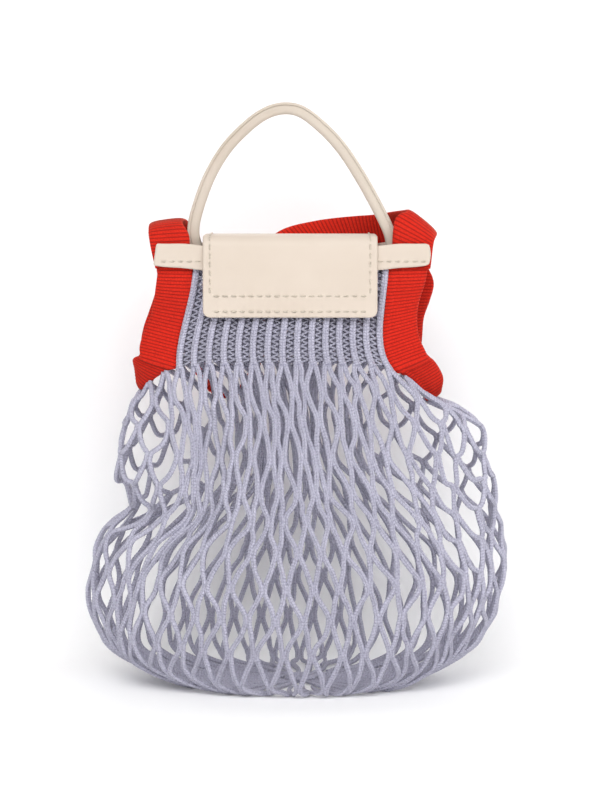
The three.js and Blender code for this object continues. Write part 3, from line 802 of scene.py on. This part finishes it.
# %% [markdown]
# Under the bag the cords run together to one place and would pile up, so most of them end before
# it, and a thicker cord draws the last meshes together. One mesh holds the front of the net, from
# side to side, and one its back.

# %% The cords of the net, in front and at the back
FIRST_ROW = -0.12
BOTTOM_TAPER = ([0, 0.9, 1], [1, 1, 0.7])
RING_LONG, RING_WIDE, RING_RADIUS = 6.2, 4.2, 1.9
RING_STEPS = 60


def last_row(strand):
    """Where a cord ends under the bag: of every four, two at row 11, one at row 12 and one at 13."""
    if strand % 2:
        return 11.08
    return 12.06 if strand % 4 else 13


def net_piece(name, strands, more=()):
    cords = Cords()
    for strand in strands:
        line, normal = cord_line(strand, FIRST_ROW, last_row(strand))
        cords.add(line, normal, taper=BOTTOM_TAPER)
    for line, normal, radius in more:
        cords.add(line, normal, radius=radius)
    return cords.piece(name, cotton), cords.flat_area()


def drawn_ring():
    """The cord that draws the last meshes together in the middle of the bottom."""
    turn = np.linspace(0, 2 * math.pi, RING_STEPS)
    line = np.stack([RING_LONG * np.cos(turn), RING_WIDE * np.sin(turn), 0 * turn + RING_RADIUS], -1)
    return line, np.tile([0.0, 0.0, 1.0], (RING_STEPS, 1)), RING_RADIUS


front_strands = [s % (2 * COLUMNS) for s in range(-COLUMNS // 2, COLUMNS // 2)]
back_strands = [s for s in range(2 * COLUMNS) if s not in front_strands]
net_front, front_area = net_piece("net_front", front_strands)
net_back, back_area = net_piece("net_back", back_strands, [drawn_ring()])

# %% [markdown]
# ## The ribbed top
# Above the net the same cords are knitted close: 15 ribs in front and 15 at the back, each a
# smooth chain, and between two ribs a ladder of zigzag yarn that sits lower. A second ladder
# lies behind it in shade, so that the top is close and not seen through.

# %% Ribs and ladders
RIBS_EACH_SIDE = 7
RIB_PITCH = 6.57
RIB_RADIUS = 1.65
NECK_X = -4.3
NECK_Y = 13
YOKE_TOP = 215
YOKE_LEAVING = 0.3
YOKE_HANGING = 0.4
EDGE_RIB = 7.3
RIB_LIFT = 0.5
LADDER_RADIUS = 0.46
INNER_LADDER_RADIUS = 1.25 * LADDER_RADIUS
LADDER_PITCH = 3.1
LADDER_SWING = 0.27
LADDER_DEPTH, INNER_LADDER_DEPTH = 0.2, 1.3


def yoke_point(rib, face, share):
    """A point of the ribbed top, from share 0 at the ribs' ends to 1 at the mouth."""
    rib, share = np.broadcast_arrays(np.asarray(rib, float), np.asarray(share, float))
    column = rib if face < 0 else COLUMNS / 2 - rib
    foot, below = net_point(column, 0 * share), net_point(column, 0 * share + YOKE_LEAVING)
    head = np.stack([NECK_X + RIB_PITCH * rib, 0 * rib + face * NECK_Y, 0 * rib + YOKE_TOP], -1)
    length = np.linalg.norm(head - foot, axis=-1, keepdims=True)
    leaving = foot + unit(foot - below) * length * YOKE_LEAVING
    hanging = head + np.array([0, 0, -YOKE_HANGING]) * length
    t = share[..., None]
    return ((1 - t) ** 3 * foot + 3 * (1 - t) ** 2 * t * leaving
            + 3 * (1 - t) * t * t * hanging + t ** 3 * head)


def yoke_normal(rib, face, share):
    across = yoke_point(rib + 0.05, face, share) - yoke_point(rib - 0.05, face, share)
    up = yoke_point(rib, face, np.minimum(share + 0.02, 1)) - yoke_point(rib, face, share - 0.02)
    return unit(np.cross(across, up)) * (-face)


def yoke_piece(name, face):
    cords, inner = Cords(), Cords()
    share = np.linspace(-0.04, 1, 60)
    for rib in range(-RIBS_EACH_SIDE, RIBS_EACH_SIDE + 1):
        line = yoke_point(rib + 0 * share, face, share)
        normal = yoke_normal(rib + 0 * share, face, share)
        cords.add(line + RIB_LIFT * normal, normal, radius=RIB_RADIUS, sides=10, relief=0.045)
        if rib == RIBS_EACH_SIDE:
            continue
        at = np.linspace(0.0, 0.97, 2 * int(line_length(line) / LADDER_PITCH) + 1)
        for gathering, first, depth, radius in ((cords, 0, LADDER_DEPTH, LADDER_RADIUS),
                                                (inner, 1, INNER_LADDER_DEPTH, INNER_LADDER_RADIUS)):
            swing = np.where((np.arange(len(at)) + first) % 2, LADDER_SWING, -LADDER_SWING)
            ladder = yoke_point(rib + 0.5 + swing, face, at)
            outwards = yoke_normal(rib + 0.5 + swing, face, at)
            gathering.add(ladder - depth * outwards, outwards, radius=radius, sides=6, spacing=0.4,
                          relief=0.0)
    # The inner ladders take the darker copy of the cord, as painted shade.
    inner.piece(name + "_inner", inner_cotton_painted_shade)
    return cords.piece(name, cotton)


yoke_front = yoke_piece("yoke_front", -1)
yoke_back = yoke_piece("yoke_back", 1)

# %% [markdown]
# ## Knitted bands
# A band is a folded strip of fine rib knit: its two layers make it soft and thick, with rounded
# edges, and its ribs run across it. One mesh follows the two edges of the band.

# %% Ribbons of rib knit
RIB_KNIT_PITCH = 1.65
BAND_HALF, STRAP_HALF = 1.25, 1.1
RIB_DEPTH = 0.5
RIB_STEPS = 4
KNIT_STITCH = 1.4
BELLY = 0.35
ACROSS_STEPS = 16
WAVE_HEIGHT, WOBBLE_WIDTH = 0.35, 0.25


def curve_through(points, count):
    """A smooth line through points, with count evenly spaced points on it."""
    points = np.asarray(points, float)
    fine = np.linspace(0, len(points) - 1, 20 * len(points))
    line = np.stack([smooth(points[:, k], fine) for k in range(points.shape[1])], -1)
    along = distances(line[:, :3])
    return values_at(np.linspace(0, along[-1], count), along, line)


def ribbon(name, pairs, half, seed, seam_at=None):
    """A soft ribbon between two edges. pairs holds, for each point along it, both edges' points."""
    pairs = np.asarray(pairs, float)
    middle = pairs.reshape(-1, 2, 3).mean(1)
    length = line_length(middle)
    count = RIB_STEPS * int(length / RIB_KNIT_PITCH) + 1
    both = curve_through(np.concatenate([middle, pairs[:, 0], pairs[:, 1]], 1), count)
    a, b = both[:, 3:6], both[:, 6:9]
    along = np.linspace(0, length, count)
    tangent = unit(np.gradient(both[:, :3], axis=0))
    width = b - a
    wide = np.linalg.norm(width, axis=1, keepdims=True)
    normal = unit(np.cross(tangent, width))
    noise = np.random.default_rng(seed)
    waves, wobble = (
        sum(noise.normal(0, 1) * np.sin(along / w + noise.uniform(0, 6)) for w in lengths) / 2
        for lengths in ((4.1, 7.3, 11.9, 19.0), (5.3, 9.1, 16.0))
    )
    t = (np.arange(ACROSS_STEPS) + 0.5) / ACROSS_STEPS
    t = 0.5 - 0.5 * np.cos(math.pi * t) * (0.55 + 0.45 * np.abs(np.cos(math.pi * t)))
    t = np.concatenate([[0], t, [1]])
    round_edge = (1 - np.abs(2 * t - 1) ** 6) ** 0.5
    rib = 0.5 * (1 + np.cos(2 * math.pi * np.arange(count) / RIB_STEPS))
    sides = []
    for face in (1, -1):
        rise = half * round_edge * (1 + BELLY * np.sin(math.pi * t))
        height = rise[None, :] + RIB_DEPTH * (rib[:, None] - 0.5) * round_edge[None, :]
        if seam_at is not None and face > 0:
            from_seam = (t * wide.mean() - seam_at)
            ridge = 0.45 * np.exp(-((from_seam / 0.6) ** 2))
            groove = 0.55 * np.exp(-(((from_seam - 1.5) / 0.7) ** 2))
            height = height + (ridge - groove)[None, :]
        place = a[:, None] + width[:, None] * t[None, :, None]
        place = place + normal[:, None] * (face * height + WAVE_HEIGHT * waves[:, None])[..., None]
        uneven = WOBBLE_WIDTH * wobble[:, None] * (2 * t - 1)[None, :]
        place = place + unit(width)[:, None] * uneven[..., None]
        sides.append(place)
    outer, inner = sides[0], sides[1][:, 1:-1][:, ::-1]
    ring = np.concatenate([outer, inner], 1)
    n = ring.shape[1]
    across = np.concatenate([t * wide.mean(), (t * wide.mean())[1:-1][::-1]])
    rings, around = skin(count, n)
    uv = np.stack([(across / KNIT_STITCH)[around % n], (np.arange(count) / RIB_STEPS)[rings]], -1)
    faces = (rings * n + around % n).tolist() + end_faces(count, n)
    uv = np.concatenate([uv.reshape(-1, 2), np.zeros((2 * n, 2))])
    made = mesh_piece(name, to_frame(ring.reshape(-1, 3)), faces, uv)
    made.data.materials.append(red_knit)
    print(name, len(faces), "faces,", round(length, 1), "mm long,", round(float(wide.mean()), 1), "mm wide")
    return made, length


# %% [markdown]
# Each band is sewn round an armhole, from the front of the mouth down over the net's shoulder and
# up to the back of the mouth. The tables say, step by step, how far its outer edge lies out, back
# and up from the inner one, and how far it bows away from the net.

# %% The armhole bands
BAND_GAP = -0.5
BAND_SEAM = 2.3
BAND_END_SHARE = 0.95
BAND_NAMES = ("out", "back", "up", "bow")
LEFT_BAND = np.array([
    (17.5, 1, 0, 0),
    (17.4, 1.2, 0.5, 0),
    (16.6, 1.4, 2, 0),
    (16, 1.8, 3.5, 0),
    (17.4, 2.4, 4.4, 0),
    (18.6, 3.2, 4.8, 0),
    (15.4, 4, 6.4, 0),
    (7.4, 4, 6.6, 0),
    (2.4, 0, 5.4, 0),
    (7.2, -4, 6.2, 0),
    (14, -4, 6.6, 0),
    (16.4, -3, 5, 0),
    (16, -2.2, 4, 0),
    (15.6, -1.6, 3, 0),
    (16.2, -1.2, 1.6, 0),
    (17, -1, 0.4, 0),
    (17.2, -1, 0, 0),
])
RIGHT_BAND = np.array([
    (19.2, 1, 0, 0),
    (18.7, 1, 0.8, 0),
    (17.6, 1.4, 2.2, 0),
    (17.2, 2, 4.2, 0),
    (17.4, 2.4, 5.6, 0),
    (17.8, 3, 6.6, 0.2),
    (14.6, 3.4, 7.6, 0.4),
    (12, 2.6, 6.4, 0.4),
    (7.4, 0, 5.6, 0.4),
    (11.4, -2, 6.6, 0.4),
    (13.6, 1, 7, 0.8),
    (15.2, 3, 6, 1.4),
    (16.6, 3.4, 3.8, 1.8),
    (17.6, 2, 1.8, 1.8),
    (18.2, -1, 0.2, 3.6),
    (18, -2, -0.6, 5.2),
    (17.6, -1, 0, 1),
])


def armhole_edge(side, count):
    rib = side * EDGE_RIB
    down = np.linspace(1, 0, 7)[:-1] * BAND_END_SHARE
    under = np.linspace(EDGE_RIB, COLUMNS / 2 - EDGE_RIB, 13)
    points = [yoke_point(rib, -1, s) for s in down]
    points += [net_point(side * c, 0.0) for c in under]
    points += [yoke_point(rib, 1, s) for s in down[::-1]]
    return curve_through(points, count)


def band_pairs(side, table, count=61):
    """The inner and the outer edge of a band, from the front of the mouth round to its back."""
    edge = armhole_edge(side, count)
    at = np.linspace(0, len(table) - 1, count)
    out, to_back, up, bow = (smooth(table[:, k], at)[:, None] for k in range(len(BAND_NAMES)))
    width = np.concatenate([side * out, to_back, up], 1)
    start = edge + unit(width) * (BAND_GAP + bow)
    return np.stack([start, start + width], 1)


band_left, left_length = ribbon("band_left_knit", band_pairs(-1, LEFT_BAND), BAND_HALF, 3, BAND_SEAM)
band_right, right_length = ribbon("band_right_knit", band_pairs(1, RIGHT_BAND), BAND_HALF, 4, BAND_SEAM)

# %% [markdown]
# The strap goes on from the left band over the top, hangs down behind the ribs in a short loop and
# comes up to the right band. Each row of its table holds one point of each edge.

# %% The shoulder strap
STRAP = np.array([
    (-70.8, -11.4, 207.6, -54.6, -11.8, 207.4),
    (-73.6, -12.6, 221.5, -54, -12.6, 222.5),
    (-74.4, -8.5, 226.6, -57, -8.5, 229),
    (-74.6, 2, 228, -56.8, 2, 230.4),
    (-74.2, 14, 226, -55, 14, 228),
    (-73.5, 21, 217, -54.2, 21, 219),
    (-71.3, 23.5, 200, -51.8, 23.5, 201),
    (-67.5, 26, 183, -49.5, 30.5, 184),
    (-61, 31, 167, -48, 44.5, 168),
    (-53.5, 36, 152, -49.5, 54.5, 152),
    (-46, 38, 143, -46, 57, 143),
    (-38, 38.5, 139.5, -38, 57.5, 139.5),
    (-30, 38, 143, -30, 57, 143),
    (-23, 36.5, 153, -26, 55, 153),
    (-15.5, 31, 168, -26, 46.5, 168),
    (-8, 26, 184, -25.5, 29.5, 187),
    (-3, 22.3, 199, -22.5, 22.5, 207.5),
    (5, 21.3, 208.5, -12.5, 21.3, 223.4),
    (18.5, 21.3, 212, 8, 21.3, 230),
    (40, 21.3, 213.5, 36, 19.5, 232.7),
    (58, 19.3, 221, 44.8, 6.5, 234.6),
    (65.5, 8, 222, 50, -3, 235.6),
    (66.8, -5, 223.5, 51.5, -9, 235.4),
    (65, -13, 219.5, 45.5, -13, 230.5),
    (63.4, -11.8, 207.4, 44.5, -12.6, 207.4),
])
strap, strap_length = ribbon("strap_knit", STRAP.reshape(-1, 2, 3), STRAP_HALF, 5)

# %% [markdown]
# ## Leather
# The leather is cut 1.6 mm thick. Its edges are rounded and sealed. Two strips bind the mouth, a
# flap folds over it, and the handle is two layers of leather glued and bent to an arch.

# %% Leather sheets
LEATHER = 1.6
EDGE_ROUND = 0.45


def leather_sheet(name, rows):
    """A sheet from a grid of points, with rounded edges. rows[i][j] is one point of its middle."""
    grid = np.asarray(rows, float)
    down = np.gradient(grid, axis=0)
    across = np.gradient(grid, axis=1)
    normal = unit(np.cross(down, across))
    n, m = grid.shape[:2]
    edge_down = np.minimum(np.arange(n), np.arange(n)[::-1])
    edge_across = np.minimum(np.arange(m), np.arange(m)[::-1])
    near_edge = np.minimum(edge_down[:, None], edge_across[None, :])
    half = LEATHER / 2 * np.where(near_edge == 0, 0.45, np.where(near_edge == 1, 0.85, 1.0))
    outer = grid + normal * half[..., None]
    inner = grid - normal * half[..., None]
    points = np.concatenate([outer.reshape(-1, 3), inner.reshape(-1, 3)])
    index = np.arange(n * m).reshape(n, m)
    faces = []
    for i in range(n - 1):
        for j in range(m - 1):
            quad = [index[i, j], index[i + 1, j], index[i + 1, j + 1], index[i, j + 1]]
            faces.append(quad)
            faces.append([q + n * m for q in quad[::-1]])
    rim = list(index[0, :]) + list(index[1:, -1]) + list(index[-1, :-1][::-1]) + list(index[1:-1, 0][::-1])
    for k, here in enumerate(rim):
        following = rim[(k + 1) % len(rim)]
        faces.append([here, following, following + n * m, here + n * m])
    made = mesh_piece(name, to_frame(points), [[int(q) for q in f] for f in faces])
    made.data.materials.append(cream_leather)
    print(name, len(faces), "faces")
    return made


# %% [markdown]
# A strip is sewn over the edge of the ribs on each side of the mouth. Its ends are rounded and a
# little slanted, and its top dips in the middle, where the flap presses on it.

# %% The mouth strips
STRIP_Y = 15.9
STRIP_LEFT, STRIP_RIGHT = -70, 62.4
STRIP_HEIGHT = 12
STRIP_TOP = 219.8
STRIP_DIP = 2
STRIP_CORNER = 1.6
STRIP_SLANT = 1.5
STRIP_LIFT = 0.7


def inset_ends(values, inset):
    """Adds a point close to each end, for a rounded edge."""
    return np.concatenate([[values[0], values[0] + inset, values[0] + 2.2 * inset], values[1:-1],
                           [values[-1] - 2.2 * inset, values[-1] - inset, values[-1]]])


def rounded(from_edge, radius):
    """How far a rounded corner draws an edge in, at some distance from the other edge."""
    left = np.clip(radius - from_edge, 0, radius)
    return radius - np.sqrt(radius ** 2 - left ** 2)


def strip_piece(name, face):
    share = inset_ends(np.linspace(0, STRIP_RIGHT - STRIP_LEFT, 60), EDGE_ROUND) / (STRIP_RIGHT - STRIP_LEFT)
    fall = inset_ends(np.linspace(0, 1, 12) * STRIP_HEIGHT, EDGE_ROUND)
    rows = []
    for down in fall:
        corner = rounded(min(down, STRIP_HEIGHT - down), STRIP_CORNER)
        left = STRIP_LEFT - STRIP_SLANT * down / STRIP_HEIGHT + 0.5 * corner
        right = STRIP_RIGHT + 0.9 * math.sin(math.pi * down / STRIP_HEIGHT) - corner
        x = left + share * (right - left)
        from_middle = 2 * share - 1
        top = STRIP_TOP - STRIP_DIP * (1 - from_middle ** 2)
        top += STRIP_LIFT * np.exp(-(((np.abs(from_middle) - 0.8) / 0.13) ** 2))
        height = STRIP_HEIGHT - 1.3 * np.abs(from_middle) ** 8
        y = face * (STRIP_Y + 0.25 * np.sin(x / 13 + face) + 0.15 * np.sin(down / 4))
        rows.append(np.stack([x, y, top - down * height / STRIP_HEIGHT], -1))
    return leather_sheet(name, rows if face < 0 else rows[::-1])


strip_front = strip_piece("strip_front", -1)
strip_back = strip_piece("strip_back", 1)

# %% [markdown]
# The flap starts at the back strip, bends over the mouth and hangs down in front. Its corners are
# cut round. Nothing holds its front hem, so it stands a little off the ribs there.

# %% The flap
FLAP_Y = 18
FLAP_LEFT, FLAP_RIGHT = -47.4, 37.4
FLAP_TOP = 223
FLAP_FRONT_HEM, FLAP_BACK_HEM = 184, 203
FLAP_CORNER = 3.5
FLAP_BEND = 5
FLAP_LIFT = 1


def flap_line():
    """The flap's middle line from its front hem over the mouth to its back hem, as y and z."""
    line = [(-FLAP_Y - FLAP_LIFT, FLAP_FRONT_HEM), (-FLAP_Y - FLAP_LIFT, 190), (-FLAP_Y - 0.7, 200)]
    line += [(-FLAP_Y - 0.3, 210), (-FLAP_Y, FLAP_TOP - FLAP_BEND - 1)]
    bend = []
    for step in range(1, 6):
        turn = math.pi / 2 * step / 6
        bend.append((FLAP_Y - FLAP_BEND * (1 - math.cos(turn)), FLAP_TOP - FLAP_BEND * (1 - math.sin(turn))))
    line += [(-y, z) for y, z in bend] + [(-6, FLAP_TOP), (0, FLAP_TOP), (6, FLAP_TOP)] + bend[::-1]
    return line + [(FLAP_Y, 210), (FLAP_Y, FLAP_BACK_HEM)]


def flap_piece():
    line = curve_through(flap_line(), 90)
    length = line_length(line)
    along = np.linspace(0, length, len(line))
    at = inset_ends(np.linspace(0, length, 76), EDGE_ROUND)
    y, z = np.interp(at, along, line[:, 0]), np.interp(at, along, line[:, 1])
    width = FLAP_RIGHT - FLAP_LEFT
    share = inset_ends(np.linspace(0, 1, 60) * width, EDGE_ROUND) / width
    from_hem = np.minimum(at, at[-1] - at)
    cut = rounded(from_hem, FLAP_CORNER)
    rows = []
    for k in range(len(at)):
        x = FLAP_LEFT + cut[k] + share * (FLAP_RIGHT - FLAP_LEFT - 2 * cut[k])
        wave = 0.25 * np.sin(x / 15 + at[k] / 30)
        rows.append(np.stack([x, y[k] + np.sign(y[k]) * wave * 0.5, z[k] + 0 * x], -1))
    return leather_sheet("flap_leather", rows[::-1]), length


flap, flap_length = flap_piece()

# %% [markdown]
# The flap and the strips are sewn with a thick cream thread. Each stitch is a short piece of
# thread that rises from one hole, lies on the leather and dives into the next hole.

# %% Stitches
STITCH_PITCH = 4.2
STITCH_LENGTH = 2.9
THREAD_RADIUS = 0.36
THREAD_RISE = 0.27
FLAP_STITCH_SIDE = 3.5
FLAP_STITCH_HEM = 3.0
FLAP_SECOND_ROW = 10.5
STRIP_STITCH_DROP = 8.6


def stitch_row(cords, line, outwards):
    """Stitches along a line on the leather's middle, on the side that outwards points to."""
    line = np.asarray(line, float)
    steps = distances(line)
    count = int(steps[-1] // STITCH_PITCH)
    first = (steps[-1] - count * STITCH_PITCH) / 2
    bend = np.linspace(-1, 1, 9)
    lift = LEATHER / 2 + THREAD_RISE - 1.1 * np.abs(bend) ** 4
    for k in range(count):
        along = first + (k + 0.5) * STITCH_PITCH + bend * STITCH_LENGTH / 2
        points, out = values_at(along, steps, line), values_at(along, steps, outwards)
        cords.add(points + out * lift[:, None], out, radius=THREAD_RADIUS, sides=6, spacing=0.3, relief=0.06)


def flap_stitches():
    cords = Cords()
    line = curve_through(flap_line(), 90)
    length = distances(line)
    turn = unit(np.gradient(line, axis=0))
    normal = np.stack([0 * turn[:, 0], -turn[:, 1], turn[:, 0]], -1)
    x = np.linspace(FLAP_LEFT + FLAP_STITCH_SIDE, FLAP_RIGHT - FLAP_STITCH_SIDE, 20)
    for at in (FLAP_STITCH_HEM, FLAP_SECOND_ROW, length[-1] - FLAP_STITCH_HEM):
        y, z = values_at(at, length, line)
        outwards = np.tile(values_at(at, length, normal), (len(x), 1))
        stitch_row(cords, np.stack([x, 0 * x + y, 0 * x + z], -1), outwards)
    run = (length > FLAP_SECOND_ROW - 0.5) & (length < length[-1] - FLAP_STITCH_HEM)
    for x in (FLAP_LEFT + FLAP_STITCH_SIDE, FLAP_RIGHT - FLAP_STITCH_SIDE):
        stitch_row(cords, np.stack([0 * line[run, 0] + x, line[run, 0], line[run, 1]], -1), normal[run])
    cords.piece("flap_stitches", thread)


def strip_stitches(name, face):
    cords = Cords()
    for start, end in ((STRIP_LEFT + 0.2, FLAP_LEFT + 1), (FLAP_RIGHT - 0.6, STRIP_RIGHT - 0.4)):
        x = np.linspace(start, end, 12)
        y = face * (STRIP_Y + 0.25 * np.sin(x / 13 + face))
        z = STRIP_TOP - STRIP_STITCH_DROP + 0 * x
        stitch_row(cords, np.stack([x, y, z], -1), np.tile([0.0, face, 0.0], (12, 1)))
    cords.piece(name, thread)


flap_stitches()
strip_stitches("strip_front_stitches", -1)
strip_stitches("strip_back_stitches", 1)

# %% [markdown]
# The handle leans over to the left, as soft leather does. The line between its two layers shows as
# a fine groove along both sides, and near its right end it is twisted a little.

# %% The handle
HANDLE = np.array([
    (-44.5, 207.5), (-48.2, 211.5), (-50.6, 217), (-52.4, 225), (-50.7, 235), (-44.8, 251.3), (-36.6, 265.2),
    (-26.8, 275.6), (-17.8, 282.3), (-9, 285.1), (0, 283.8), (9.8, 276.7), (19.8, 266.2), (29.7, 251.3),
    (38.3, 235.8), (43.4, 225), (45.2, 216), (44.2, 207),
])
HANDLE_THICKNESS = 5.7
HANDLE_WIDTH = 9
HANDLE_Y = -6
HANDLE_CORNER = 0.9
LAYER_LINE = 0.24
INSIDE_ARCH = (-4, HANDLE_Y, 230)
TWIST, TWIST_FROM = 0.35, 0.86


def handle_profile():
    """The handle's cut as pairs: across its width and out from its middle, once round."""
    wide, thick, corner = HANDLE_WIDTH / 2, HANDLE_THICKNESS / 2, HANDLE_CORNER
    layer = thick - LAYER_LINE * HANDLE_THICKNESS
    side = [(wide, -thick + corner), (wide, -0.8), (wide + 0.05, layer - 0.6),
            (wide - 0.1, layer - 0.28), (wide - 0.9, layer), (wide - 0.1, layer + 0.25),
            (wide, layer + 0.5), (wide - 0.1, thick - 0.45), (wide - 0.45, thick - 0.1)]
    top = [(wide - 1.2, thick), (0, thick + 0.12), (-wide + 1.2, thick)]
    bottom = [(-wide + corner, -thick), (0, -thick - 0.08), (wide - corner, -thick)]
    other = [(-w, h) for w, h in side[::-1]]
    return np.array(side + top + other + bottom)


def handle_piece():
    line = curve_through(HANDLE, 200)
    middle = np.stack([line[:, 0], np.full(len(line), HANDLE_Y), line[:, 1]], -1)
    tangent = unit(np.gradient(middle, axis=0))
    across = np.tile([0.0, 1.0, 0.0], (len(line), 1))
    out = unit(np.cross(tangent, across))
    out *= np.sign((out * (middle - np.array(INSIDE_ARCH))).sum(1).mean())
    share = np.linspace(0, 1, len(line))
    twist = TWIST * np.clip((share - TWIST_FROM) / (1 - TWIST_FROM), 0, 1) ** 2
    wide = across * np.cos(twist)[:, None] + out * np.sin(twist)[:, None]
    high = out * np.cos(twist)[:, None] - across * np.sin(twist)[:, None]
    profile = handle_profile()
    ring = middle[:, None] + profile[None, :, :1] * wide[:, None] + profile[None, :, 1:] * high[:, None]
    n, m = ring.shape[:2]
    rings, around = skin(n, m)
    faces = (rings * m + around % m).tolist() + end_faces(n, m)
    made = mesh_piece("handle_leather", to_frame(ring.reshape(-1, 3)), faces)
    made.data.materials.append(handle_leather)
    print("handle", len(faces), "faces")


handle_piece()

# %% [markdown]
# ## What stands for what
# Each piece takes the place of its solid and rides on the bag's one body. The table also lists
# the slot that each piece's finish comes from.

# %% Bodies and the listed slots
PIECES = {
    "net_front": ("net", "cotton_cord"),
    "net_back": ("net", "cotton_cord"),
    "yoke_front": ("net", "cotton_cord"),
    "yoke_back": ("net", "cotton_cord"),
    "yoke_front_inner": ("net", "cotton_cord"),
    "yoke_back_inner": ("net", "cotton_cord"),
    "band_left_knit": ("band_left", "red_band"),
    "band_right_knit": ("band_right", "red_band"),
    "strap_knit": ("shoulder_strap", "red_band"),
    "strip_front": ("mouth_strip_front", "cream_leather"),
    "strip_back": ("mouth_strip_back", "cream_leather"),
    "strip_front_stitches": ("mouth_strip_front", "cream_leather"),
    "strip_back_stitches": ("mouth_strip_back", "cream_leather"),
    "flap_leather": ("flap", "cream_leather"),
    "flap_stitches": ("flap", "cream_leather"),
    "handle_leather": ("handle", "handle_leather"),
}
for name, (node, slot_name) in PIECES.items():
    piece = bpy.data.objects[name]
    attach(piece, "root")
    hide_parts(node)
